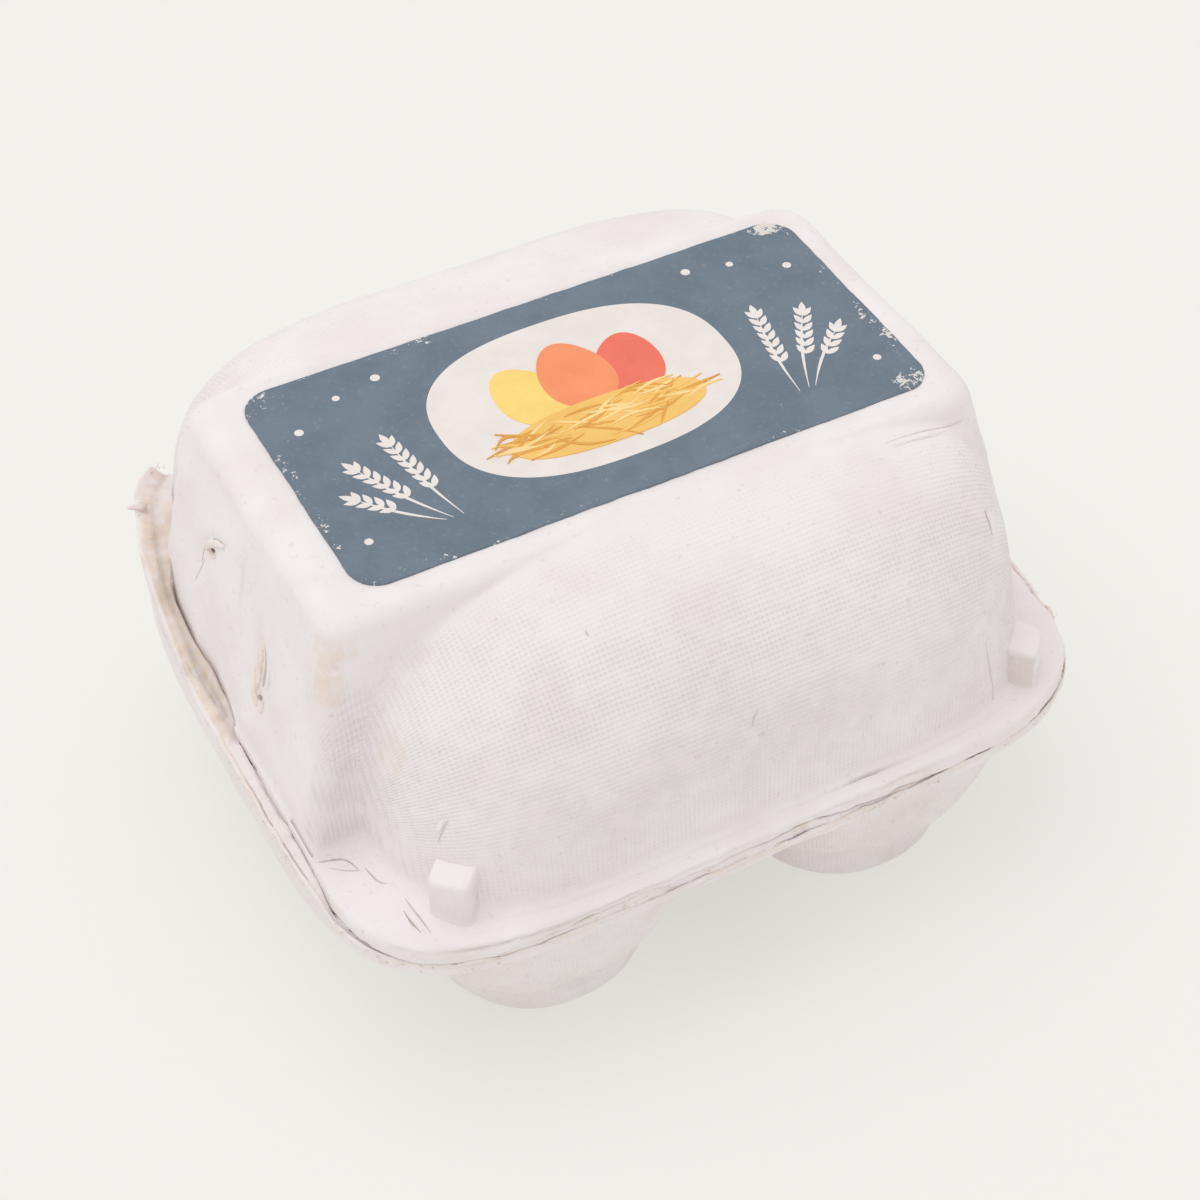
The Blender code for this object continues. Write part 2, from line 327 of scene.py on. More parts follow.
def bulge_outline(z):
    """The two rounded bulges, front and back, as one pillow through the block."""
    rise = np.clip((z - LID_RIM_TOP) / (HEIGHT - LID_RIM_TOP), 0.0, 0.9995)
    swell = (1.0 - rise ** BULGE_PROFILE) ** (1.0 / BULGE_PROFILE)
    half_y = blend(BULGE_SPRING_Y, BULGE_HALF[1], swell)
    end = np.where(FRONT_RIGHT, RIGHT_END_PROFILE, by_side(BULGE_END_PROFILE))
    widest = np.where(FRONT_RIGHT, RIGHT_END_HALF, np.where(BACK_LEFT, BACK_LEFT_HALF, BULGE_HALF[0]))
    half_x = widest * (1.0 - rise ** end) ** (1.0 / end)
    top = np.where(FRONT_RIGHT, RIGHT_END_SQUARENESS, by_side(BULGE_SQUARENESS_TOP))
    top = np.where(BACK_LEFT, BACK_LEFT_SQUARENESS[0], top)
    foot = np.where(BACK_LEFT, BACK_LEFT_SQUARENESS[1], by_side(BULGE_SQUARENESS_FOOT))
    exponent = blend(top, foot, (1.0 - rise) ** 1.5)
    return superellipse(np.maximum(half_x, 8.0), half_y, exponent)


def lid_wall(z):
    """The lid's outline: block and bulges, with a soft valley where they meet."""
    rise = (z - LID_RIM_TOP) / (HEIGHT - LID_RIM_TOP)
    power = blend(VALLEY_BLEND[0], VALLEY_BLEND[1], rise)
    joined = post_outline(z) ** power + bulge_outline(z) ** power
    return joined ** (1.0 / power)


def tray_rim():
    """The outer edge of the tray's flange."""
    return superellipse(LENGTH / 2.0, DEPTH / 2.0, by_side(RIM_EXPONENT))


def lip_rise(rim):
    """How far the tray's lips stand above the seam, as far along the ends as they run."""
    y = rim * SIN
    left = LIP_RISE_LEFT + LIP_CURL * ramp(*LIP_CURL_START, y)
    rise = np.where(COS < 0.0, left, LIP_RISE_RIGHT)
    return rise * ramp(*LIP_FRONT_END, y) * (1.0 - ramp(*LIP_BACK_END, y))


def lid_rim():
    """The outer edge of the lid's flange, which tucks inside the lips at the ends."""
    exponent = by_side(LID_RIM_EXPONENT)
    plain = superellipse(LID_RIM_LENGTH / 2.0, LID_RIM_DEPTH / 2.0, exponent)
    corner = ramp(28.0, 40.0, -plain * SIN)
    half_x = LID_RIM_LENGTH / 2.0 - LID_END_INSET * (1.0 - corner)
    return superellipse(half_x, LID_RIM_DEPTH / 2.0, exponent)


def grid_normals(points):
    """Outward normals of a grid of rings, one for each point."""
    along = np.roll(points, -1, 1) - np.roll(points, 1, 1)
    up = np.empty_like(points)
    up[1:-1] = points[2:] - points[:-2]
    up[0] = points[1] - points[0]
    up[-1] = points[-1] - points[-2]
    normal = np.cross(along, up)
    return normal / np.maximum(np.linalg.norm(normal, axis=2, keepdims=True), 1e-9)


def displaced(points, relief):
    """A grid's points, moved outwards by a relief in mm."""
    return points + grid_normals(points) * relief[..., None]


def masks(points, lines=0.0, ribs=0.0, raw=0.0, dark=0.0):
    """Masks at each point: shares of mesh lines, ribs, raw pulp, and darkness, which is mostly painted
    shade.
    """
    return np.stack([np.broadcast_to(part, points.shape[:2]) for part in (lines, ribs, raw, dark)], 2)


def upright_weave(points):
    """Places along the mesh imprint for a piece that stands upright."""
    return points[..., (0, 2, 2)] * (1.0, 1.0, 0.0)


def weave_coordinates(points):
    """Places across and along the mould's wire mesh, whose wires run along X, in mm."""
    rise = shares(2000)
    reach = (BULGE_HALF[1] - BULGE_SPRING_Y) * (1.0 - rise ** BULGE_PROFILE) ** (1.0 / BULGE_PROFILE)
    lift = rise * (HEIGHT - LID_RIM_TOP)
    arc = run_along(np.hypot(np.diff(reach), np.diff(lift)))
    out = np.maximum(np.abs(points[..., 1]) - BULGE_SPRING_Y, 0.3)
    turn = np.arctan2(points[..., 2] - LID_RIM_TOP, out)
    along = np.interp(turn, np.arctan2(lift, reach), arc)
    return np.stack([points[..., 0], along, np.zeros(along.shape)], 2)


def path_distance(points, path):
    """Distance of each point from a path through the given places, in mm."""
    found = []
    for start, end in zip(path, path[1:]):
        axis = np.subtract(end, start)
        share = np.clip((points - start) @ axis / (axis @ axis), 0.0, 1.0)
        found.append(np.linalg.norm(points - start - share[..., None] * axis, axis=-1))
    return np.min(found, axis=0)


def box_mask(points, low, high, soft):
    """1 inside a box, falling off softly outside it."""
    mask = np.ones(points.shape[:-1])
    for axis in range(3):
        place = points[..., axis]
        mask *= ramp(low[axis] - soft, low[axis] + soft, place)
        mask *= 1.0 - ramp(high[axis] - soft, high[axis] + soft, place)
    return mask


# The round dished mark on the end walls, in mm
DISC_CENTRE = (-52.3, 3.0, 44.0)
DISC_RADIUS = 12.0

# Marks that the photo shows, as paths on the lid's surface in mm. Fine slits have a half
# width and a darkness, which is painted shade in the slit and also sets the depth of its dent;
# folds have a half width, a height and a share of bare beige pulp.
ARCH_HOLE = ((-51.6, 10.6, 51.2), (-51.4, 9.3, 52.0))
SIDE_HOLE = ((-53.8, -8.9, 40.9), (-53.9, -7.4, 39.9))
SIDE_CREASE = ((-52.4, -7.8, 48.6), (-53.0, -7.9, 44.6), (-53.6, -7.7, 41.0))
SLITS = (
    (((-52.5, 13.6, 46.6), (-52.0, 13.0, 49.1), (-51.6, 12.0, 51.4), (-51.1, 9.9, 53.9),
      (-50.8, 7.4, 55.4), (-50.6, 5.1, 56.2)), 0.13, 0.30),
    (((-52.3, 12.6, 48.2), (-52.8, 13.6, 45.4), (-53.4, 14.9, 42.5)), 0.12, 0.22),
    (((-52.0, -8.0, 49.0), (-52.3, -8.9, 47.6), (-52.8, -9.1, 45.3), (-53.3, -8.6, 42.9)), 0.50, 0.42),
    (((42.4, -37.4, 56.5), (42.4, -38.5, 55.2), (42.2, -39.8, 53.9)), 0.16, 0.42),
    (((36.9, -47.7, 42.8), (37.4, -48.5, 38.2), (38.6, -48.8, 33.3), (38.6, -49.3, 31.3)), 0.13, 0.22),
    (((32.1, -27.0, 64.8), (35.3, -26.8, 64.4), (38.8, -26.5, 63.7), (42.5, -26.1, 62.6),
      (45.8, -25.4, 61.8)), 0.14, 0.20),
    (((32.6, -28.1, 64.6), (35.8, -27.9, 64.1), (38.9, -27.7, 63.4), (41.8, -27.2, 62.5)), 0.12, 0.16),
    (((-41.3, -41.9, 43.8), (-42.2, -42.0, 42.3), (-42.9, -42.0, 40.4)), 0.15, 0.28),
    (((0.4, -48.2, 48.7), (-0.4, -48.6, 47.8), (-0.8, -48.8, 46.8)), 0.13, 0.30),
    (((-18.5, -36.1, 62.0), (-18.4, -36.9, 61.6)), 0.12, 0.30),
    (((-55.4, -30.4, 30.9), (-53.6, -30.9, 30.9), (-52.1, -31.5, 30.9), (-51.6, -32.7, 30.9),
      (-51.3, -33.7, 30.9)), 0.14, 0.45),
    (((-54.6, -31.8, 30.9), (-53.4, -32.9, 30.9), (-52.3, -33.7, 30.9), (-51.3, -34.0, 30.9)), 0.12, 0.30),
    (((-50.4, -34.2, 30.9), (-50.2, -35.8, 30.9), (-49.9, -37.2, 30.9), (-48.9, -38.2, 30.9)), 0.13, 0.42),
    (((-47.9, -41.3, 30.9), (-47.8, -43.2, 30.9), (-47.5, -45.7, 30.9), (-47.3, -47.9, 30.9)), 0.14, 0.38),
    (((-48.9, -43.1, 30.9), (-48.9, -45.1, 30.9), (-48.4, -47.2, 30.9)), 0.16, 0.50),
)
FOLDS = (
    (((-51.9, 12.1, 50.0), (-51.4, 10.7, 52.4), (-51.0, 8.5, 54.1), (-50.8, 5.9, 55.4)), 0.62, 0.55, 0.45),
    (((-51.9, 11.9, 50.6), (-51.8, 10.5, 50.3), (-51.6, 8.6, 51.4)), 0.35, 0.35, 0.55),
    (((-52.4, -7.3, 48.4), (-53.0, -7.2, 44.6), (-53.6, -6.9, 41.0)), 1.15, 0.35, 0.85),
    (((-52.3, -10.9, 47.6), (-53.0, -10.9, 44.4)), 0.45, 0.25, 0.25),
    (((-53.4, -10.2, 42.2), (-53.9, -9.9, 39.8), (-54.0, -8.2, 38.8)), 0.60, 0.35, 0.60),
    (((-53.5, -6.6, 41.4), (-53.9, -6.4, 39.6), (-54.0, -7.8, 38.7)), 0.60, 0.30, 0.70),
    (((-53.4, -31.9, 30.9), (-52.0, -32.6, 30.9)), 0.35, 0.16, 0.0),
    (((-48.4, -42.6, 30.9), (-48.2, -45.4, 30.9), (-47.9, -47.6, 30.9)), 0.30, 0.16, 0.0),
    (((43.3, -37.2, 56.2), (43.2, -38.4, 54.9), (42.9, -39.7, 53.7)), 0.30, 0.16, 0.0),
    (((33.0, -27.7, 64.7), (38.8, -27.1, 63.6), (42.2, -26.8, 62.6)), 0.40, 0.18, 0.0),
    (((-41.9, -41.6, 43.9), (-42.8, -41.7, 42.0)), 0.30, 0.18, 0.0),
)
VALLEY_LEFT = (
    (-49.3, -29.4, 33.0), (-48.8, -28.9, 40.0), (-47.3, -27.8, 47.4), (-44.8, -27.2, 52.9),
    (-42.0, -26.9, 56.0), (-37.6, -27.0, 59.5),
)
VALLEY_BACK = -0.93

# Tan stains as boxes, low and high corner in mm, with their strength
STAINS = (
    ((-51.0, -26.5, 60.5), (-45.2, -21.5, 63.4), 0.60),
    ((-52.5, -26.4, 53.8), (-47.6, -23.0, 61.0), 0.70),
    ((-46.4, -34.6, 47.0), (-42.4, -30.4, 50.8), 0.45),
)

# The seam from the photo: angle round the carton in degrees with height, and with width, in mm
SEAM_LINE = (
    (0.0, 28.0), (40.0, 27.9), (90.0, 28.1), (140.0, 27.9), (180.0, 27.8), (215.0, 27.6), (232.6, 27.4),
    (234.0, 28.0), (236.1, 28.4), (244.3, 29.1), (250.3, 29.4), (253.1, 28.8), (261.5, 28.8), (265.5, 29.1),
    (269.6, 28.7), (274.5, 28.9), (276.9, 29.4), (279.4, 28.7), (282.7, 28.1), (289.0, 27.5), (290.5, 28.1),
    (293.5, 27.6), (299.3, 27.3), (306.5, 27.1), (310.3, 27.6), (314.2, 27.9), (320.0, 28.2), (330.0, 28.3),
    (360.0, 28.0),
)
SEAM_WIDTH = (
    (0.0, 0.3), (30.0, 0.25), (70.0, 0.35), (110.0, 0.25), (150.0, 0.3), (180.0, 0.2), (230.0, 0.05),
    (236.0, 0.15), (247.0, 0.25), (249.0, 0.04), (254.0, 0.3), (262.0, 0.12), (270.0, 0.3), (275.0, 0.5),
    (279.0, 0.65), (284.0, 0.2), (287.0, 0.55), (293.0, 0.5), (295.0, 0.7), (298.0, 0.25), (302.0, 0.5),
    (305.0, 0.12), (307.0, 0.3), (309.0, 0.04), (310.0, 0.8), (314.0, 0.8), (315.5, 0.08), (321.5, 0.1),
    (323.0, 0.9), (328.0, 0.9), (330.0, 0.2), (360.0, 0.3),
)


def wall_levels():
    """Heights of the wall's rings, evenly spaced along the middle of the front bulge."""
    fine = np.linspace(LID_RIM_TOP, HEIGHT, 1200)
    rise = np.clip((fine - LID_RIM_TOP) / (HEIGHT - LID_RIM_TOP), 0.0, 1.0)
    reach = blend(BULGE_SPRING_Y, BULGE_HALF[1], (1.0 - rise ** BULGE_PROFILE) ** (1.0 / BULGE_PROFILE))
    steps = np.hypot(np.diff(fine), np.diff(reach))
    total = run_along(steps)
    return np.interp(np.linspace(0.0, total[-1], WALL_ROWS + 1)[1:], total, fine)


def seam_height():
    """Height of the seam round the rim, which wanders up and down along the front."""
    return table_at(SEAM_LINE, np.degrees(ANGLES)) + 0.10 * noise(ROUND, 1.8, SEED_SEAM + 3)


def seam_opening():
    """How far the seam gapes round the rim: a fine crack with a few open stretches."""
    quick = 0.75 + 0.45 * noise(ROUND, 2.2, SEED_SEAM + 1)
    return table_at(SEAM_WIDTH, np.degrees(ANGLES)) * quick


def lid_edge():
    """The ragged outer edge of the lid's flange."""
    rim = lid_rim()
    foot = lid_wall(LID_RIM_TOP)
    place = ring(rim, SEAM_Z)
    ragged = 0.22 * noises(place, 5.0, SEED_LID) + 0.10 * noise(place, 1.1, SEED_LID + 7)
    end = ramp(0.75, 0.9, -COS) * ramp(5.0, 13.0, place[:, 1])
    rim = rim + ragged + 0.25 * ramp(0.8, 0.9, np.abs(COS)) - 1.3 * end
    clear = rim - foot - 0.3
    return foot + 0.3 + 0.5 * (clear + np.sqrt(clear ** 2 + 0.1))


def lid_grid():
    """Rings of the lid, from its underside over the flange, the walls and the panel."""
    rim = lid_edge()
    foot = lid_wall(LID_RIM_TOP)
    place = ring(lid_rim(), SEAM_Z)
    opening = seam_opening()
    half = FLANGE_EDGE_HALF
    width = np.minimum(half[0], 0.45 * (rim - foot))
    low = seam_height() + 0.5 * opening
    high = np.full(COLUMNS, FLANGE_TOP) + 0.12 * noise(place, 9.0, SEED_LID + 3)
    rows = [ring(rim - inset, SEAM_Z + GAP) for inset in (12.0, 6.0, 3.6)]
    rows.append(ring(rim - width - 1.0, blend(SEAM_Z + GAP, low, 0.5)))
    for turn in np.radians(np.linspace(-90.0, 90.0, 15)):
        reach = math.cos(turn) ** (0.25 if turn < 0.0 else 0.75)
        lift = 0.5 + 0.5 * math.copysign(abs(math.sin(turn)) ** 0.8, turn)
        rows.append(ring(rim - width + width * reach, blend(low, high, lift)))
    fillet = np.clip(0.55 * (rim - width - foot), 0.15, FILLET)
    rows += [ring(blend(rim - width, foot + fillet, share), high) for share in shares(8)[1:]]
    for z in wall_levels():
        under = np.clip((high + fillet - z) / fillet, 0.0, 1.0)
        lifted = np.maximum(z, high + 0.02 * (z - LID_RIM_TOP))
        spread = fillet * (1.0 - np.sqrt(1.0 - under ** 2))
        over = np.clip((z - HEIGHT + PANEL_ROUND_HEIGHT) / PANEL_ROUND_HEIGHT, 0.0, 1.0)
        inset = PANEL_ROUND * (1.0 - math.sqrt(1.0 - over ** 2))
        rows.append(ring(lid_wall(z) + spread - inset, lifted))
    edge = lid_wall(HEIGHT) - PANEL_ROUND
    for share in (0.985, 0.965, 0.94, 0.9, 0.84, 0.76, 0.66, 0.54, 0.42, 0.3, 0.18, 0.08):
        drop = PANEL_DROP * ramp(1.0, 0.93, share)
        rows.append(ring(edge * share, HEIGHT - drop))
    return np.array(rows)


def disc_relief(points):
    """The round dished mark on an end wall, and its mirror image on the other end."""
    relief = np.zeros(points.shape[:2])
    for side in (1.0, -1.0):
        centre = np.multiply(DISC_CENTRE, (side, 1.0, 1.0))
        near = ramp(6.0, 3.0, np.abs(points[..., 0] - centre[0]))
        away = np.hypot(points[..., 1] - centre[1], points[..., 2] - centre[2])
        relief += near * (-0.40 * ramp(DISC_RADIUS + 1.2, DISC_RADIUS - 2.5, away)
                          + 0.35 * ramp(DISC_RADIUS, 0.0, away)
                          - 0.16 * band(away, DISC_RADIUS, 0.8))
    return relief


def mark_relief(points):
    """The hollows round the holes in the end wall, and the dents under the fine marks."""
    relief = -0.3 * band_along(points, ARCH_HOLE, 0.9) - 0.4 * band_along(points, SIDE_HOLE, 1.0)
    for path, width, depth in SLITS:
        relief -= 0.5 * depth * band_along(points, path, 0.5 + width)
    return relief


def valley_distance(points):
    """Distance from the nearest of the four valleys beside the bulges."""
    sides = [(x, y, 1.0) for x in (1.0, -1.0) for y in (1.0, VALLEY_BACK)]
    return np.min([path_distance(points, np.multiply(VALLEY_LEFT, side)) for side in sides], axis=0)


def lid_skin():
    """Displaced points of the lid, its mesh imprint, and its masks, whose darkness is painted shade in the
    arch hole.
    """
    points = lid_grid()
    weave = weave_coordinates(points)
    normal = grid_normals(points)
    x, y, z = points[..., 0], points[..., 1], points[..., 2]
    wall = ramp(LID_RIM_TOP + 0.6, LID_RIM_TOP + 2.5, z)
    panel = ramp(HEIGHT - 0.8, HEIGHT - 0.1, z) * ramp(0.9, 0.98, normal[..., 2])
    outside = ramp(SEAM_Z + 0.6, SEAM_Z + 1.6, z)
    valley = band(valley_distance(points), 0.0, 2.2)
    lumps = 0.26 * noises(points, 24.0, SEED_LID + 10)
    lumps += 0.10 * noises(points, 6.5, SEED_LID + 20)
    lumps += 0.035 * noise(points, 1.7, SEED_LID + 30)
    relief = lumps * (1.0 - 0.85 * panel) * outside
    relief += (disc_relief(points) + mark_relief(points)) * outside
    relief += -0.22 * valley + 0.10 * valley * noise(points, 1.3, SEED_LID + 40)
    edge = ramp(SEAM_Z + 0.2, SEAM_Z + 0.9, z) * (1.0 - ramp(30.2, 30.7, z))
    layer_z = 30.0 + 0.3 * noise(points * (1.0, 1.0, 0.0), 9.0, SEED_SEAM + 5)
    layered = ramp(-0.2, 0.5, noise(points * (1.0, 1.0, 0.0), 11.0, SEED_SEAM + 6))
    layered = np.maximum(layered, ramp(-50.0, -46.0, x) * ramp(-16.0, -22.0, x) * (y < 0.0))
    outer = ramp(0.6, 0.8, np.abs(normal[..., 0]) + np.abs(normal[..., 1]))
    groove = edge * layered * outer * band(z, layer_z, 0.22) * ramp(-54.0, -50.0, x)
    relief -= 0.45 * groove
    relief += 0.10 * edge * noise(points * (1.0, 1.0, 2.5), 1.3, SEED_SEAM + 7)
    shaped = points + normal * relief[..., None]

    patch = 0.85 + 0.20 * noises(points, 13.0, SEED_LID + 50, 2)
    bulged = ramp(25.2, 27.6, np.abs(y)) * wall
    flat_top = ramp(HEIGHT - 2.0, HEIGHT - 6.0, z)
    face = ramp(0.90, 0.97, np.abs(normal[..., 1])) * ramp(44.0, 46.0, np.abs(x))
    face = face * ramp(32.5, 31.5, np.abs(y))
    lines = bulged * ramp(34.0, 43.0, z) * blend(0.45, 1.0, flat_top) * patch * (1.0 - 0.75 * face)
    low = 1.0 - 0.65 * ramp(44.0, 55.0, z)
    ribs = bulged * np.maximum.reduce([low * flat_top, 1.5 * valley, 1.5 * face]) * patch
    stain = np.zeros(z.shape)
    for corner_low, corner_high, strength in STAINS:
        stain = np.maximum(stain, strength * box_mask(points, corner_low, corner_high, 0.35))
    stain = stain * (0.75 + 0.35 * noise(points, 1.6, SEED_LID + 60))
    arch = band_along(points, ARCH_HOLE, 0.8)
    hole = 0.8 * band_along(points, SIDE_HOLE, 1.5)
    crease = 0.7 * band_along(points, SIDE_CREASE, 1.4)
    torn = 0.30 * edge * outer * ramp(0.0, 0.8, noise(points, 4.0, SEED_SEAM + 9))
    raw = np.clip(np.maximum.reduce([stain, arch, hole, crease, 0.35 * groove, torn]), 0.0, 1.0)
    # The dark mask here is painted shade inside the arch hole
    return shaped, weave, masks(points, lines, ribs, raw, 0.3 * band_along(points, ARCH_HOLE, 0.5))


def lip_edge(rim, rise):
    """The ragged height of the tray's upper edge round the rim."""
    place = ring(rim, 0.0)
    standing = ramp(0.4, 2.0, rise)
    ragged = 0.5 * noises(place, 6.0, SEED_TRAY) + 0.35 * noise(place, 1.4, SEED_TRAY + 5)
    left = COS < 0.0
    y = place[:, 1]
    peak = 1.2 * band(y, 37.5, 2.5) - 1.1 * band(y, 30.5, 1.6) + 0.8 * band(y, 25.0, 2.0)
    corner = np.where(left, 0.0, 2.1 * band(y, -37.5, 1.5))
    ragged = ragged + np.where(left, peak, 0.0)
    shut = seam_height() - 0.5 * seam_opening()
    return np.where(rise > 0.02, np.maximum(shut, SEAM_Z + rise + standing * ragged + corner), shut)


def tray_grid():
    """Rings of the tray's flange: underside, outer edge, over the lip and down inside."""
    rim = tray_rim()
    place = ring(rim, SEAM_Z)
    edge = lid_edge()
    inner = np.minimum(edge + 0.35, rim - LIP_WALL)
    clearance = rim - LIP_WALL - lid_rim()
    rise = lip_rise(rim) * ramp(0.35, 1.0, clearance)
    top = lip_edge(rim, rise)
    y = place[:, 1]
    left = ramp(0.35, 0.6, -COS)
    folded = left * ramp(*WEB_SPAN[0], y) * (1.0 - ramp(*WEB_SPAN[1], y))
    web_top = table_at(WEB_HEIGHT, y) + 0.3 * noises(place, 4.0, SEED_TRAY + 3)
    climb = folded * (web_top - top + 0.25)
    wall = lid_wall(np.clip(web_top, LID_RIM_TOP, HEIGHT - 6.0)) + table_at(WEB_CRACK, y)
    width = 0.02 + folded * np.maximum(rim - 0.75 - wall, 0.0)
    corner = np.maximum(left, ramp(0.5, 0.7, -COS) * (SIN < 0.0))
    corner = np.maximum(corner, ramp(0.5, 0.7, COS) * ramp(-40.0, -35.0, y))
    floor = blend(SEAM_Z - 0.15, np.maximum(top - 0.6, SEAM_Z - 0.15), corner * (1.0 - folded))
    floor = blend(floor, top + climb - 3.5, folded)
    lean = LIP_LEAN * np.maximum(top - SEAM_Z - LIP_RISE_LEFT, 0.0) ** 2
    rim = rim + 0.16 * noises(place, 6.0, SEED_TRAY + 10) - 0.12
    rows = [ring((rim - PLATE_INSET) * share, PLATE_BOTTOM) for share in (0.05, 0.25, 0.45, 0.65, 0.85, 1.0)]
    for share in shares(6)[1:]:
        z = blend(PLATE_BOTTOM, FLANGE_BOTTOM, share ** 2)
        rows.append(ring(rim - blend(PLATE_INSET, 1.0, share), z))
    for turn in np.radians((25.0, 50.0, 72.0)):
        rows.append(ring(rim - 1.0 + math.sin(turn), FLANGE_BOTTOM + 0.9 * (1.0 - math.cos(turn))))
    for share in shares(16):
        z = blend(FLANGE_BOTTOM + 0.8, top - 0.3, share)
        out = lean * ramp(0.0, 1.0, (z - SEAM_Z) / np.maximum(top - SEAM_Z, 0.5)) ** 1.5
        rows.append(ring(rim + out - 0.1 * share, z))
    rows += [ring(rim + lean - reach, top - drop) for reach, drop in LIP_ROUND]
    for share in np.linspace(0.12, 1.0, 9):
        out = lean * (1.0 - share) ** 1.5
        sag = 0.6 * folded * math.sin(math.pi * share)
        rows.append(ring(rim - 0.75 + out - width * share, top - 0.25 + climb * share ** 0.9 - sag))
    thick = (1.0 - folded) * (inner - 0.25 * corner + 0.05 - (rim - 0.7)) - 0.3 * folded
    for share in np.linspace(0.1, 1.0, 9):
        z = blend(top - 0.25 + climb, floor, share)
        rows.append(ring(rim - 0.75 - width + thick * ramp(0.0, 0.35, share), z))
    base = np.minimum(inner, rim - 0.75 - width)
    for inset, drop in ((3.0, 0.1), (8.0, 0.6), (20.0, 1.0)):
        rows.append(ring(base - inset, floor - drop * (floor - SEAM_Z + 0.15)))
    return np.array(rows)


def tray_flange_skin():
    """Displaced points of the tray's flange, its mesh imprint, and its masks, with painted shade low on the
    inner faces and on the folded layer.
    """
    points = tray_grid()
    weave = weave_coordinates(points)
    normal = grid_normals(points)
    z = points[..., 2]
    radius = np.hypot(points[..., 0], points[..., 1])
    rim = tray_rim()[None, :]
    outer = ramp(1.6, 0.3, rim - radius)
    relief = 0.10 * noises(points, 7.0, SEED_TRAY + 20)
    relief += 0.05 * noise(points, 1.5, SEED_TRAY + 30)
    flat = points * (1.0, 1.0, 0.0)
    split_z = 26.4 + 0.5 * noise(flat, 8.0, SEED_TRAY + 40)
    split = ramp(-0.1, 0.6, noise(flat, 12.0, SEED_TRAY + 41))
    upright = ramp(0.5, 0.8, np.hypot(normal[..., 0], normal[..., 1]))
    groove = outer * split * band(z, split_z, 0.25) * upright
    relief -= 0.22 * groove
    relief += 0.16 * outer * band(z, 27.1, 0.7) * noise(points * (1.0, 1.0, 2.0), 1.4, SEED_TRAY + 42)
    shaped = points + normal * relief[..., None]
    inward = ramp(0.2, 0.8, -(normal[..., 0] * COS + normal[..., 1] * SIN))
    y = points[..., 1]
    inside = rim - radius
    web = ramp(30.0, 54.0, -points[..., 0]) * ramp(*WEB_SPAN[0], y)
    web = web * ramp(0.5, 0.9, inside) * ramp(SEAM_Z + 1.0, SEAM_Z + 2.0, z)
    pulpy = ramp(29.0, 35.0, y) * ramp(1.6, 2.8, inside)
    top = z[:OUTER_ROWS].max(axis=0)
    near_top = ramp(1.3, 0.2, top[None, :] - z) * outer
    streak = ramp(-0.4, 0.6, noise(points * (1.0, 1.0, 3.0), 3.0, SEED_TRAY + 50))
    worn = 0.8 + 0.3 * noises(points, 3.0, SEED_TRAY + 55)
    web = web * worn * (1.0 - 0.6 * pulpy)
    inner = 0.75 * inward * (1.0 - 0.6 * pulpy)
    raw = np.maximum.reduce([inner, web, 0.55 * near_top * streak, 0.35 * groove])
    # Painted shade on the folded layer: darker further in from the rim and along a fold line, with random
    # brown blotches on top
    contour = band(inside, 2.2 + 0.5 * noise(flat, 5.0, SEED_TRAY + 56), 0.45)
    inside_shade = ramp(0.9, 2.2, inside) * (1.0 - 0.6 * pulpy)
    blotch = ramp(0.0, 0.8, noise(points, 1.8, SEED_TRAY + 57))
    web_shade_and_blotch = web * (0.16 * inside_shade + 0.26 * contour + 0.14 * blotch)
    # Painted shade: the inner faces darken towards the seam, and the folded layer adds its painted shade and
    # blotches
    dark = np.maximum(0.30 * inward * ramp(SEAM_Z + 1.5, SEAM_Z, z), web_shade_and_blotch)
    return shaped, weave, masks(points, 0.15, 0.15, np.clip(raw, 0.0, 1.0), np.clip(dark, 0.0, 1.0))


def cup_grid(sign_x, sign_y):
    """Rings of one cup, from the middle of its flat foot up to the tray's plate."""
    turns = full_turn(CUP_COLUMNS)
    back = int(sign_y > 0)
    levels = [(0.0, 1.0 - share) for share in (0.04, 0.35, 0.65, 0.88)]
    for turn in np.radians(np.linspace(0.0, 90.0, 7)):
        levels.append((1.5 * (1.0 - math.cos(turn)), 0.0))
    for z in np.linspace(1.5, CUP_TOP - 0.5, CUP_ROWS - len(levels) + 1)[1:]:
        levels.append((z, 0.0))
    rows = []
    for z, shrink in levels:
        share = z / CUP_TOP
        foot = 1.6 * (1.0 - math.sqrt(1.0 - (1.0 - min(z / 1.5, 1.0)) ** 2))
        ledge = CUP_LEDGE * (2.0 * float(ramp(CUP_LEDGE_Z - 0.9, CUP_LEDGE_Z + 0.6, z)) - 1.0)
        ledge *= float(ramp(1.0, 6.0, z)) * (1.0 - 0.7 * float(ramp(13.0, 22.0, z)))
        centre = [blend(CUP_CENTRE_FOOT[k], CUP_CENTRE_TOP[k], share) for k in (0, 1)]
        trim = foot - ledge + CUP_BACK_TRIM * back * share
        half = [(blend(CUP_HALF_FOOT[k], CUP_HALF_TOP[k], share) - trim) * (1.0 - shrink) for k in (0, 1)]
        across, along = rounded_ring(turns, blend(CUP_EXPONENT_FOOT, CUP_EXPONENT_TOP[back], share))
        flare = 2.2 * ramp(19.5, CUP_TOP - 0.8, z) ** 2
        flare_x = flare * (across * sign_x < 0.0)
        flare_y = flare * (along * sign_y < 0.0)
        x = sign_x * centre[0] + (half[0] + flare_x * np.abs(across)) * across
        y = sign_y * centre[1] + (half[1] + flare_y * np.abs(along)) * along
        rows.append(np.stack([x, y, np.full(CUP_COLUMNS, z)], 1))
    return np.array(rows)


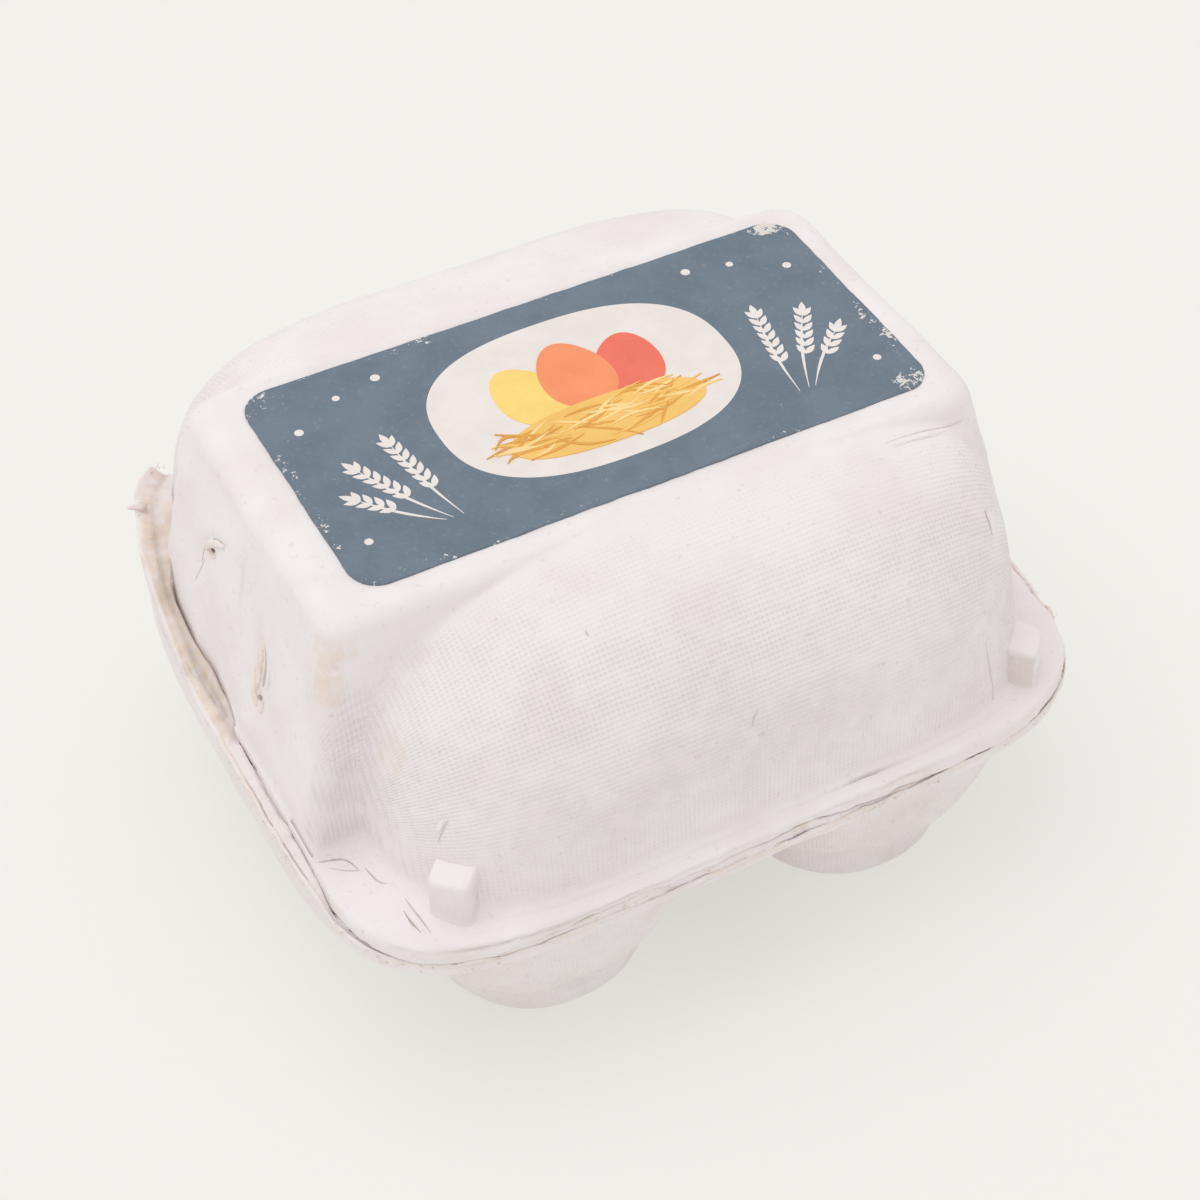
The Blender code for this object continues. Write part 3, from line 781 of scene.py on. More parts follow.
def cup_skin(sign_x, sign_y):
    """Displaced points of one cup, its mesh imprint, and its masks, with painted shade lower down."""
    points = cup_grid(sign_x, sign_y)
    z = points[..., 2]
    above = ramp(0.3, 2.5, z)
    relief = 0.22 * noises(points, 14.0, SEED_TRAY + 60)
    relief += 0.05 * noises(points, 3.0, SEED_TRAY + 70)
    steps = np.linalg.norm(np.roll(points[-1], -1, 0) - points[-1], axis=1)
    across = np.broadcast_to(np.cumsum(steps) - steps, z.shape)
    climbs = np.linalg.norm(np.diff(points, axis=0), axis=2)
    up = np.concatenate([np.zeros((1, CUP_COLUMNS)), np.cumsum(climbs, 0)])
    weave = np.stack([across, up, np.zeros(z.shape)], 2)
    patch = above * (0.7 + 0.3 * noise(points, 8.0, SEED_TRAY + 80))
    raw = 0.25 * ramp(1.0, 0.2, z) * ramp(-0.2, 0.5, noise(points, 3.0, SEED_TRAY + 90))
    # Painted shade: the two right cups darken towards their foot, and all cups are a little darker below 20
    # mm
    dark = 0.07 * ramp(13.0, 2.0, z) * (sign_x > 0.0) + 0.02 * ramp(26.0, 20.0, z)
    return displaced(points, relief * above), weave, masks(points, 0.35 * patch, 0.8 * patch, raw, dark)


def grid_faces(rows, columns, first):
    """Faces of a closed grid of rings, with a cap at either end."""
    lower = first + np.arange(rows - 1)[:, None] * columns
    here = np.arange(columns)[None, :]
    after = (here + 1) % columns
    quads = np.stack([lower + here, lower + after, lower + columns + after, lower + columns + here], 2)
    faces = quads.reshape(-1, 4).tolist()
    faces.append((first + np.arange(columns))[::-1].tolist())
    faces.append((first + (rows - 1) * columns + np.arange(columns)).tolist())
    return faces


def make_piece(name, skins, surface, nodes):
    """One mesh object from several skins, which rides on the carton's only body."""
    faces = []
    first = 0
    for points, _, _ in skins:
        faces += grid_faces(points.shape[0], points.shape[1], first)
        first += points.shape[0] * points.shape[1]
    points, weave, finish_and_shade = [
        np.concatenate([skin[part].reshape(-1, skin[part].shape[-1]) for skin in skins]) for part in range(3)
    ]
    mesh = bpy.data.meshes.new(name)
    mesh.from_pydata((points * MM).tolist(), [], faces)
    mesh.attributes.new("weave", 'FLOAT_VECTOR', 'POINT').data.foreach_set("vector", weave.ravel())
    mesh.attributes.new("finish_and_shade", 'FLOAT_COLOR', 'POINT').data.foreach_set("color", finish_and_shade.ravel())
    return add_object(name, mesh, surface, nodes)


def new_object(name, data):
    """A new object in the scene."""
    item = bpy.data.objects.new(name, data)
    bpy.context.scene.collection.objects.link(item)
    return item


def add_object(name, mesh, surface, nodes=()):
    """Put a mesh into the scene with its material, body, slot and replaced nodes."""
    mesh.validate()
    mesh.shade_smooth()
    item = new_object(name, mesh)
    mesh.materials.append(surface)
    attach(item, "root" if "root" in frame["bodies"] else next(iter(frame["bodies"])))
    if nodes:
        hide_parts(*nodes)
    return item


class Graph:
    """A short way to add shader nodes and to link them."""

    def __init__(self, name):
        self.material = bpy.data.materials.new(name)
        self.material.use_nodes = True
        self.tree = self.material.node_tree
        self.shader = self.tree.nodes["Principled BSDF"]

    def add(self, kind, inputs=(), **settings):
        """A node of a kind, with its settings, and values or links for its inputs."""
        node = self.tree.nodes.new("ShaderNode" + kind)
        for key, value in settings.items():
            setattr(node, key, value)
        for key, value in dict(inputs).items():
            self.set(node.inputs[key], value)
        return node

    def set(self, socket, value):
        """Give a socket a value, or link another socket to it."""
        if isinstance(value, bpy.types.NodeSocket):
            self.tree.links.new(value, socket)
        else:
            socket.default_value = value

    def math(self, operation, first, second=0.0, third=0.0):
        """The result of one Math node."""
        return self.add('Math', {0: first, 1: second, 2: third}, operation=operation).outputs[0]

    def times(self, first, second):
        """The product of two values."""
        return self.math('MULTIPLY', first, second)

    def times_plus(self, first, second, third):
        """The product of two values, with a third added."""
        return self.math('MULTIPLY_ADD', first, second, third)

    def surface(self, height, strength, distance, grain, rough, specular, colour):
        """Connect the shader: bump, roughness between two values along a grain, and colour."""
        bump = self.add('Bump', {"Height": height, "Strength": strength, "Distance": distance})
        self.set(self.shader.inputs["Normal"], bump.outputs[0])
        node = self.add('MapRange', {"Value": grain, "To Min": rough[0], "To Max": rough[1]})
        self.set(self.shader.inputs["Roughness"], node.outputs["Result"])
        self.set(self.shader.inputs["Base Color"], colour)
        self.shader.inputs["Specular IOR Level"].default_value = specular
        return self.material

    def noise(self, place, scale, detail=2.0, roughness=0.5):
        """The grey value of a Noise texture."""
        inputs = {"Vector": place, "Scale": scale, "Detail": detail, "Roughness": roughness}
        return self.add('TexNoise', inputs).outputs["Fac"]

    def level(self, value, low, high):
        """0 below low, 1 above high."""
        inputs = {"Value": value, "From Min": low, "From Max": high}
        return self.add('MapRange', inputs, interpolation_type='SMOOTHSTEP').outputs["Result"]

    def mix(self, share, first, second):
        """A colour between two colours."""
        node = self.add('Mix', {"Factor": share}, data_type='RGBA')
        self.set(node.inputs[6], first)
        self.set(node.inputs[7], second)
        return node.outputs[2]


def srgb(red, green, blue):
    """A colour from display values between 0 and 255, as the linear values of a shader."""
    linear = []
    for value in (red, green, blue):
        share = value / 255.0
        linear.append(share / 12.92 if share <= 0.04045 else ((share + 0.055) / 1.055) ** 2.4)
    return (*linear, 1.0)


PULP_PALE = srgb(244, 238, 239)
PULP_DEEP = srgb(239, 232, 232)
# Greyish pink for painted shade in the grooves of the mesh imprint and in the pores
PULP_GROOVE_SHADE = srgb(206, 190, 186)
PULP_RAW = srgb(236, 216, 199)
# Dark brown for painted shade, and for brown blotches on the folded layer of the tray
SHADE_AND_BLOTCH_BROWN = srgb(84, 60, 44)
SLATE = srgb(116, 129, 143)
SLATE_DEEP = srgb(108, 122, 135)
PAPER_WORN = srgb(226, 220, 216)


def pulp_material(name):
    """Moulded pulp: mottled, fibrous, with the imprint of a wire mesh and raw edges, and painted shade in
    the imprint's grooves and where the dark mask asks for it.
    """
    graph = Graph(name)
    place = graph.add('TexCoord').outputs["Object"]
    weave = graph.add('Attribute', attribute_name="weave").outputs["Vector"]
    finish_and_shade_node = graph.add('Attribute', attribute_name="finish_and_shade")
    finish_and_shade = graph.add('SeparateColor', {"Color": finish_and_shade_node.outputs["Color"]}).outputs
    lines, ribs, raw, dark = finish_and_shade[0], finish_and_shade[1], finish_and_shade[2], finish_and_shade_node.outputs["Alpha"]

    wobble = graph.add('TexNoise', {"Vector": place, "Scale": 260.0, "Detail": 1.0})
    half = (0.5, 0.5, 0.5)
    shift = graph.add('VectorMath', {0: wobble.outputs["Color"], 1: half}, operation='SUBTRACT')
    shift = graph.add('VectorMath', {0: shift.outputs[0], 3: 0.35}, operation='SCALE')
    warped = graph.add('VectorMath', {0: weave, 1: shift.outputs[0]}, operation='ADD').outputs[0]
    axes = graph.add('SeparateXYZ', {0: warped}).outputs
    wave_along = graph.math('SINE', graph.times(axes[1], 2.0 * math.pi / MESH_PITCH_ALONG))
    wave_across = graph.math('SINE', graph.times(axes[0], 2.0 * math.pi / MESH_PITCH_ACROSS))
    dots = graph.times(wave_along, wave_across)
    broken = graph.times_plus(graph.level(graph.noise(place, 330.0, 2.0), 0.30, 0.62), 0.5, 0.5)
    height = graph.times(wave_along, lines)
    height = graph.times_plus(wave_across, ribs, height)
    both = graph.math('MAXIMUM', lines, ribs)
    height = graph.times_plus(dots, graph.times(both, 0.6), height)
    height = graph.times(height, broken)

    fibre_place = graph.add('Mapping', {"Vector": place, "Scale": (1.0, 1.0, 2.2)}).outputs[0]
    fibres = graph.noise(fibre_place, 1500.0, 4.0, 0.65)
    grain = graph.noise(place, 420.0, 3.0, 0.6)
    pores = graph.level(graph.noise(place, 900.0, 2.0), 0.36, 0.24)
    total = graph.times(height, 0.62)
    total = graph.times_plus(fibres, 0.55, total)
    total = graph.times_plus(grain, 0.9, total)
    total = graph.times_plus(pores, -0.25, total)

    mottle = graph.level(graph.noise(place, 75.0, 4.0, 0.55), 0.36, 0.66)
    colour = graph.mix(mottle, PULP_PALE, PULP_DEEP)
    # Painted shade: darker where the mesh imprint dips into its grooves, and in the pores
    shading = graph.times_plus(height, -0.16, graph.times(pores, 0.25))
    colour = graph.mix(graph.math('MAXIMUM', shading, 0.0), colour, PULP_GROOVE_SHADE)
    raw_edge = graph.times(raw, graph.level(graph.noise(place, 500.0, 3.0, 0.7), 0.25, 0.62))
    colour = graph.mix(raw_edge, colour, PULP_RAW)
    # Painted shade where the dark mask asks for it, with some brown blotches on the folded layer
    colour = graph.mix(graph.times(dark, 0.85), colour, SHADE_AND_BLOTCH_BROWN)
    return graph.surface(total, 0.55, 0.00016, grain, (0.84, 0.98), 0.22, colour)


# Worn places of the label: centre from the label's middle, half sizes in mm, strength
WORN_SPOTS = (
    (40.6, 19.6, 4.2, 2.0, 1.0), (42.6, 9.0, 1.4, 12.0, 0.62), (42.2, -8.0, 1.6, 9.0, 0.62),
    (40.5, -18.8, 4.0, 2.4, 0.75),
    (-40.5, 18.5, 4.5, 3.0, 0.55), (-17.0, 20.2, 8.0, 1.4, 0.60), (2.0, 20.3, 6.0, 0.9, 0.45),
    (-36.0, -20.0, 7.0, 1.2, 0.62), (-14.0, -20.2, 8.0, 1.0, 0.45), (-42.4, -2.0, 1.0, 14.0, 0.45),
    (20.0, -20.4, 12.0, 0.9, 0.40),
)


def worn_mask(graph, place):
    """Where the print is rubbed off: in patches near the edges, and in scattered specks."""
    axes = graph.add('SeparateXYZ', {0: place}).outputs
    local = [graph.math('SUBTRACT', axes[axis], LABEL_CENTRE[axis] * MM) for axis in (0, 1)]
    worn = 0.0
    for *spot, strength in WORN_SPOTS:
        across, along = [
            graph.math('DIVIDE', graph.math('SUBTRACT', local[axis], spot[axis] * MM), spot[axis + 2] * MM)
            for axis in (0, 1)
        ]
        away = graph.times_plus(across, across, graph.times(along, along))
        worn = graph.math('MAXIMUM', worn, graph.times(graph.level(away, 1.3, 0.1), strength))
    reach = [graph.math('SUBTRACT', LABEL_HALF[k] * MM, graph.math('ABSOLUTE', local[k])) for k in (0, 1)]
    rim = graph.level(graph.math('MINIMUM', reach[0], reach[1]), 0.0012, 0.0)
    patchy = graph.level(graph.noise(place, 120.0, 3.0, 0.6), 0.36, 0.62)
    worn = graph.math('MAXIMUM', worn, graph.times(rim, 0.40))
    worn = graph.times(worn, graph.times_plus(patchy, 0.75, 0.25))
    specks = graph.noise(place, 1250.0, 3.0, 0.7)
    limit = graph.times_plus(worn, -0.33, 0.725)
    return graph.level(graph.math('SUBTRACT', specks, limit), 0.0, 0.05)


def paper_material(name, pale, deep):
    """Printed paper: a faint grain, uneven ink, and specks where the ink is rubbed off."""
    graph = Graph(name)
    place = graph.add('TexCoord').outputs["Object"]
    grain = graph.noise(place, 1300.0, 3.0, 0.6)
    cloud = graph.level(graph.noise(place, 120.0, 5.0, 0.65), 0.35, 0.65)
    ink = graph.mix(cloud, pale, deep)
    ink = graph.mix(graph.times(graph.level(grain, 0.55, 0.78), 0.10), ink, PAPER_WORN)
    worn = worn_mask(graph, place)
    height = graph.times_plus(worn, -0.6, graph.times(grain, 0.5))
    height = graph.times_plus(graph.noise(place, 260.0, 2.0), 1.2, height)
    colour = graph.mix(worn, ink, PAPER_WORN)
    return graph.surface(height, 0.35, 0.0001, grain, (0.62, 0.80), 0.3, colour)


def button_skin(index):
    """A latch button: a tapered stud set cornerwise, whose top slopes down to the front, with painted shade
    below its top.
    """
    side = (-1.0, 1.0)[index]
    centre = BUTTON_CENTRES[index]
    back = np.array([-side, 1.0]) * math.sqrt(0.5)
    beside = np.array([1.0, side]) * math.sqrt(0.5)
    turns = full_turn(BUTTON_COLUMNS) + math.pi / BUTTON_COLUMNS
    unit_across, unit_deep = rounded_ring(turns, BUTTON_EXPONENT)
    height = BUTTON_TOP - LID_RIM_TOP
    levels = [(-0.16, 1.42), (-0.05, 1.34), (0.02, BUTTON_DRAFT + 0.03)]
    levels += [(share, blend(BUTTON_DRAFT, 1.02, share)) for share in np.linspace(0.08, 0.90, 14)]
    levels += [(0.90 + 0.10 * math.sin(turn), 1.02 - 0.16 * (1.0 - math.cos(turn)))
               for turn in np.radians((20.0, 40.0, 60.0, 78.0, 90.0))]
    levels += [(1.0, 0.86 * share) for share in (0.85, 0.65, 0.4, 0.12)]
    rows = []
    for share, scale in levels:
        depth = BUTTON_HALF[1] * scale * unit_deep
        flat = centre + np.outer(BUTTON_HALF[0] * scale * unit_across, beside) + np.outer(depth, back)
        z = LID_RIM_TOP + height * share + BUTTON_SLOPE * depth * np.clip(share, 0.0, 1.0)
        rows.append(np.column_stack([flat, z]))
    points = np.array(rows)
    relief = 0.14 * noises(points, 3.5, SEED_LID + 70 + index)
    relief += 0.05 * noise(points, 0.9, SEED_LID + 80)
    points = displaced(points, relief)
    normal = grid_normals(points)
    # Painted shade: the right button's face towards the front left is darkened and tinted beige, and the
    # left button is a little darker below its top
    below = ramp(BUTTON_TOP - 0.7, BUTTON_TOP - 1.6, points[..., 2])
    inner = ramp(0.35, 0.65, -(normal[..., :2] @ beside)) * index
    shaded = below * inner * ramp(LID_RIM_TOP - 0.2, LID_RIM_TOP + 0.8, points[..., 2])
    dark = 0.11 * shaded + 0.05 * below * (1 - index)
    return points, upright_weave(points), masks(points, 0.0, 0.25 * below, 0.3 * shaded, dark)


def drape(path, skin, spacing=0.22):
    """Evenly spaced places along a path, laid onto a skin's surface, with its normals there."""
    path = np.asarray(path, float)
    for _ in range(2):
        quarter = path[:-1] * 0.75 + path[1:] * 0.25
        three = path[:-1] * 0.25 + path[1:] * 0.75
        path = np.concatenate([path[:1], np.stack([quarter, three], 1).reshape(-1, 3), path[-1:]])
    total = run_along(np.linalg.norm(np.diff(path, axis=0), axis=1))
    wanted = np.linspace(0.0, total[-1], max(5, int(total[-1] / spacing)))
    places = np.stack([np.interp(wanted, total, path[:, axis]) for axis in range(3)], 1)
    surface = skin.reshape(-1, 3)
    facing = grid_normals(skin).reshape(-1, 3)
    near = ((surface > places.min(0) - 3.0) & (surface < places.max(0) + 3.0)).all(1)
    surface = surface[near]
    facing = facing[near]
    laid = []
    normals = []
    for place in places:
        away = ((surface - place) ** 2).sum(1)
        weight = np.exp(-(away - away.min()) / 0.5)
        weight /= weight.sum()
        middle = weight @ surface
        normal = weight @ facing
        normal /= np.linalg.norm(normal)
        laid.append(place - normal * ((place - middle) @ normal))
        normals.append(normal)
    return np.array(laid), np.array(normals)


def strip_skin(path, skin, half_width, lift, raw, dark, seed):
    """A low ridge that lies along a path on a skin, pointed at both ends."""
    places, normals = drape(path, skin)
    along = np.gradient(places, axis=0)
    along /= np.maximum(np.linalg.norm(along, axis=1, keepdims=True), 1e-9)
    beside = np.cross(normals, along)
    share = shares(len(places))
    width = half_width * np.sin(math.pi * np.clip(share, 0.03, 0.97)) ** 0.6
    width = width * (1.0 + 0.35 * noise(places, 0.8, seed))
    rows = []
    for turn in np.radians((0.0, 25.0, 55.0, 90.0, 125.0, 155.0, 180.0, 270.0)):
        up = lift * math.sin(turn) * (width / half_width) ** 0.5
        rise = np.where(math.sin(turn) > 0.0, up, -0.25)
        rows.append(places + beside * (width * math.cos(turn))[:, None] + normals * rise[:, None])
    points = np.array(rows).transpose(1, 0, 2)
    points = displaced(points, 0.12 * lift * noise(points, 0.6, seed + 1))
    return points, np.zeros(points.shape), masks(points, raw=raw, dark=dark)


def marks(skin):
    """Slits and folds that lie on the lid, and dark strips in its two holes; the dark colour of the slits
    and holes is painted shade.
    """
    pieces = []
    for index, (path, half_width, dark) in enumerate(SLITS):
        pieces.append(strip_skin(path, skin, half_width, 0.035, 0.7 * dark, dark, SEED_LID + 200 + index))
    for index, (path, half_width, lift, raw) in enumerate(FOLDS):
        pieces.append(strip_skin(path, skin, half_width, lift, raw, 0.0, SEED_LID + 300 + index))
    # Dark strips in the arch hole and the side hole: painted shade inside them
    pieces.append(strip_skin(ARCH_HOLE, skin, 0.34, 0.05, 1.0, 1.0, SEED_LID + 400))
    pieces.append(strip_skin(SIDE_HOLE, skin, 0.42, 0.05, 1.0, 0.6, SEED_LID + 401))
    return pieces


def ribbon_skin(angles, radius, low, high, thickness):
    """A thin torn strip that follows the rim, between two ragged heights."""
    rows = []
    steps = shares(7)
    outer = [(blend(low, high, t), radius + thickness * math.sin(math.pi * (0.15 + 0.7 * t))) for t in steps]
    inner = [(blend(low, high, t), radius - thickness) for t in steps[::-1]]
    for z, reach in outer + inner:
        rows.append(np.stack([reach * np.cos(angles), reach * np.sin(angles), z], 1))
    points = np.array(rows).transpose(1, 0, 2)[::-1]
    points = displaced(points, 0.07 * noise(points, 0.9, SEED_FIBRES))
    streak = 0.30 + 0.40 * noise(points, 2.5, SEED_FIBRES + 2)
    return points, upright_weave(points), masks(points, raw=np.clip(streak, 0.0, 1.0))


def rim_at(angles, radii):
    """A rim's radius at other angles than the outline's own."""
    return np.interp(angles, ANGLES, radii, period=2.0 * math.pi)


# The torn layers along the seam: first and last angle, height and width in mm
TORN_SPANS = (
    (228.0, 262.0, 27.3, 1.0), (255.0, 292.0, 27.0, 1.2), (286.0, 322.0, 27.2, 1.1),
    (316.0, 352.0, 26.9, 1.0), (20.0, 60.0, 27.0, 0.9), (66.0, 118.0, 27.1, 0.8),
)


def torn_strips():
    """Torn layers of pulp that show in the seam along the front and round the corners."""
    rim = tray_rim()
    strips = []
    for index, (start, end, z, tall) in enumerate(TORN_SPANS):
        angles = np.radians(np.linspace(start, end, int((end - start) * 8)))
        radius = rim_at(angles, rim)
        place = np.stack([radius * np.cos(angles), radius * np.sin(angles), 0.0 * angles], 1)
        degrees = np.degrees(angles)
        taper = ramp(0.0, 3.0, degrees - start) * ramp(0.0, 3.0, end - degrees)
        size = tall * taper * np.clip(0.55 + 0.7 * noises(place, 4.0, SEED_FIBRES + index), 0.06, 1.3)
        middle = z + 0.25 * noise(place, 7.0, SEED_FIBRES + 20 + index)
        reach = radius - 0.05 + 0.14 * noise(place, 3.0, SEED_FIBRES + 30 + index)
        strips.append(ribbon_skin(angles, reach, middle - 0.5 * size, middle + 0.5 * size, 0.13))
    return strips


def fibre_skin(root, tip, width):
    """One pulled-out fibre bundle: a thin curved spike."""
    turns = full_turn(5)
    axis = np.subtract(tip, root)
    side_a = np.cross(axis, (0.31, 0.52, 0.79))
    side_a /= max(np.linalg.norm(side_a), 1e-6)
    side_b = np.cross(axis, side_a)
    side_b /= max(np.linalg.norm(side_b), 1e-6)
    rows = []
    for t in (0.0, 0.35, 0.7, 1.0):
        centre = np.asarray(root) + axis * t + side_a * 0.22 * np.linalg.norm(axis) * math.sin(math.pi * t)
        size = width * (1.0 - 0.85 * t)
        loop = np.outer(np.cos(turns), side_a) + 0.6 * np.outer(np.sin(turns), side_b)
        rows.append(centre + size * loop)
    points = np.array(rows)
    return points, np.zeros(points.shape), masks(points, raw=0.55)


# The larger torn point at the top of the left lip: root, tip and half width in mm
LIP_POINT = ((-53.9, 34.3, 40.4), (-56.3, 33.9, 41.5), 1.25)


def fibres():
    """Loose fibre bundles along the seam and on top of the torn lips."""
    draw = np.random.default_rng(SEED_FIBRES)
    rim = tray_rim()
    rise = lip_rise(rim)
    lip = lip_edge(rim, rise)
    skins = []
    for _ in range(FIBRE_COUNT):
        angle = draw.uniform(0.0, 2.0 * math.pi)
        radius, lift, lip_z = [rim_at(angle, radii) for radii in (rim, rise, lip)]
        out = np.array([math.cos(angle), math.sin(angle), 0.0])
        along = np.array([-math.sin(angle), math.cos(angle), 0.0])
        below = draw.uniform(0.3, 1.0) if lift > 1.0 else draw.uniform(0.2, 1.8)
        root = out * (radius - (0.45 if lift > 1.0 else 0.3)) + (0.0, 0.0, lip_z - below)
        length = draw.uniform(0.5, 1.5)
        lean = along * draw.normal(0.0, 0.9) + out * draw.uniform(0.1, 0.5)
        lean = lean + (0.0, 0.0, draw.normal(0.1, 0.35))
        tip = root + lean / np.linalg.norm(lean) * length
        skins.append(fibre_skin(root, tip, draw.uniform(0.05, 0.13)))
    return skins + [fibre_skin(*LIP_POINT)]


def label_outline():
    """Points round the label, with its rounded corners."""
    points = []
    for quarter, signs in enumerate(((1, 1), (-1, 1), (-1, -1), (1, -1))):
        centre = LABEL_CENTRE + np.multiply(signs, LABEL_HALF - LABEL_CORNER)
        for turn in np.radians(90.0 * quarter + np.linspace(0.0, 90.0, 10)):
            points.append(centre + LABEL_CORNER * np.array([math.cos(turn), math.sin(turn)]))
    return np.array(points)


def dense_outline(points, spacing):
    """The same closed outline, with points at most a spacing apart."""
    dense = []
    for start, end in zip(points, np.roll(points, -1, 0)):
        steps = max(1, int(np.linalg.norm(end - start) / spacing))
        dense += [start + (end - start) * k / steps for k in range(steps)]
    return np.array(dense)


def label_skin():
    """The paper label: a thin sheet with slightly frayed edges, rounded over at the top."""
    outline = dense_outline(label_outline(), 0.45)
    spread = outline - LABEL_CENTRE
    zero = np.zeros(len(outline))
    fray = 0.10 * noises(np.column_stack([outline, zero]), 2.4, SEED_PRINT) - 0.08
    size = np.linalg.norm(spread, axis=1)
    levels = [((size + fray - inset) / size, drop)
              for inset, drop in ((1.5, 0.5), (0.0, 0.5), (0.0, 0.08), (0.05, 0.02), (0.18, 0.0))]
    levels += [(zero + share, 0.0) for share in (0.97, 0.9, 0.75, 0.55, 0.35, 0.15, 0.03)]
    points = np.array([
        np.column_stack([LABEL_CENTRE + spread * scale[:, None], zero + LABEL_TOP - drop])
        for scale, drop in levels
    ])
    return points, np.zeros(points.shape), masks(points)


# Heights of the printed layers above the paper, between shapes of one layer, and of their
# underside below the paper's top, in mm
LAYER_STEP = 0.02
SHAPE_STEP = 0.0006
PRINT_DEPTH = 0.03


def placed_outline(x, y, angle, place):
    """A flat outline, turned by an angle in degrees and moved to a place."""
    turn = math.radians(angle)
    return np.stack([place[0] + x * math.cos(turn) - y * math.sin(turn),
                     place[1] + x * math.sin(turn) + y * math.cos(turn)], 1)


def egg_outline(centre, width, height, lean, count=48):
    """An egg shape, blunt end down, leaning by an angle in degrees."""
    turns = full_turn(count)
    x = width / 2.0 * np.cos(turns) * (1.0 - 0.17 * np.sin(turns))
    return placed_outline(x, height / 2.0 * np.sin(turns), lean, centre)


def leaf_outline(root, angle, length, width, count=9):
    """A pointed leaf or grain that starts at a root and points along an angle in degrees."""
    t = shares(count)
    side = width / 2.0 * np.sin(math.pi * t ** 0.85)
    along = np.concatenate([t, t[-2:0:-1]]) * length
    return placed_outline(along, np.concatenate([side, -side[-2:0:-1]]), angle, root)


def oval_outline(centre, half_x, half_y, exponent, count=120):
    """A full, slightly squared oval."""
    return centre + np.transpose(rounded_ring(full_turn(count), exponent)) * (half_x, half_y)


def stroke_outline(start, end, bow, width, count=8):
    """A thin brush stroke between two places, bowed to one side and pointed at both ends."""
    start = np.asarray(start, float)
    end = np.asarray(end, float)
    t = shares(count)[:, None]
    across = np.array([-(end - start)[1], (end - start)[0]]) / max(np.linalg.norm(end - start), 1e-6)
    middle = start + (end - start) * t + across * bow * np.sin(math.pi * t)
    half = width / 2.0 * np.sin(math.pi * np.clip(t, 0.06, 0.94))
    return np.concatenate([middle - across * half, (middle + across * half)[::-1]])


# Spacing of the grains along an ear of wheat, in mm
GRAIN_STEP = 1.65


def wheat_ear(root, angle, length):
    """Outlines of an ear of wheat: a stalk, pairs of grains and a grain at the tip."""
    turn = math.radians(angle)
    tip = (root[0] + length * math.cos(turn), root[1] + length * math.sin(turn))
    shapes = [stroke_outline(root, tip, 0.5, 0.45)]
    pairs = int((length - 5.0) / GRAIN_STEP)
    for pair in range(pairs):
        reach = length - 0.6 - GRAIN_STEP * pair
        at = (root[0] + reach * math.cos(turn), root[1] + reach * math.sin(turn))
        for side in (-1, 1):
            shapes.append(leaf_outline(at, angle + side * 34.0, 2.3, 0.95))
    shapes.append(leaf_outline(tip, angle, 2.5, 1.0))
    return shapes


def print_shapes():
    """The generic picture on the label: layers of flat shapes, each with its ink."""
    draw = np.random.default_rng(SEED_PRINT)
    shapes = []
    shapes.append(("cream", 1, oval_outline((0.0, 0.6), 22.0, 15.2, 2.5)))
    eggs = (("yellow", -7.6, 2.6, 9.6, 13.0, 17.0), ("coral", 7.8, 2.4, 9.6, 12.8, -18.0),
            ("orange", 0.0, 3.6, 10.4, 14.2, 1.0))
    for ink, x, y, width, height, lean in eggs:
        layer = 4 if ink == "orange" else 3
        shapes.append((ink, layer, egg_outline((x, y), width, height, lean)))
    shapes.append(("straw", 5, oval_outline((0.0, -6.6), 14.6, 4.6, 2.3)))
    for _ in range(STRAW_COUNT):
        x = draw.uniform(-14.5, 14.5)
        y = -6.2 + draw.uniform(-3.6, 3.4) * math.sqrt(max(0.0, 1.0 - (x / 15.5) ** 2))
        turn = math.radians(draw.normal(6.0 * x / 14.0, 16.0))
        half = draw.uniform(2.2, 4.4)
        start = (x - half * math.cos(turn), y - half * math.sin(turn))
        end = (x + half * math.cos(turn), y + half * math.sin(turn))
        ink = ("straw", "straw_deep", "straw_pale")[int(draw.integers(3))]
        layer = 6 + int(draw.integers(3))
        shapes.append((ink, layer, stroke_outline(start, end, draw.normal(0.0, 0.5), 0.5)))
    for side in (-1.0, 1.0):
        for root_x, angle, length in ((25.5, 80.0, 17.0), (27.0, 62.0, 16.0), (28.0, 45.0, 12.5)):
            lean = angle if side > 0 else 180.0 - angle
            for shape in wheat_ear((side * root_x, -14.0), lean, length):
                shapes.append(("cream", 1, shape))
        for x, y, size in ((24.5, 16.0, 0.7), (31.0, 14.6, 0.55), (38.2, 10.5, 0.65), (38.6, -13.0, 0.6)):
            shapes.append(("cream", 1, oval_outline((side * x, y), size, size, 2.0, 20)))
    return shapes


INKS = {
    "cream": (srgb(240, 233, 229), srgb(234, 226, 222)),
    "yellow": (srgb(255, 222, 130), srgb(250, 214, 122)),
    "orange": (srgb(252, 158, 112), srgb(247, 150, 104)),
    "coral": (srgb(244, 126, 104), srgb(238, 118, 98)),
    "straw": (srgb(250, 204, 118), srgb(244, 196, 108)),
    "straw_deep": (srgb(232, 172, 84), srgb(226, 166, 80)),
    "straw_pale": (srgb(255, 224, 156), srgb(250, 216, 146)),
}


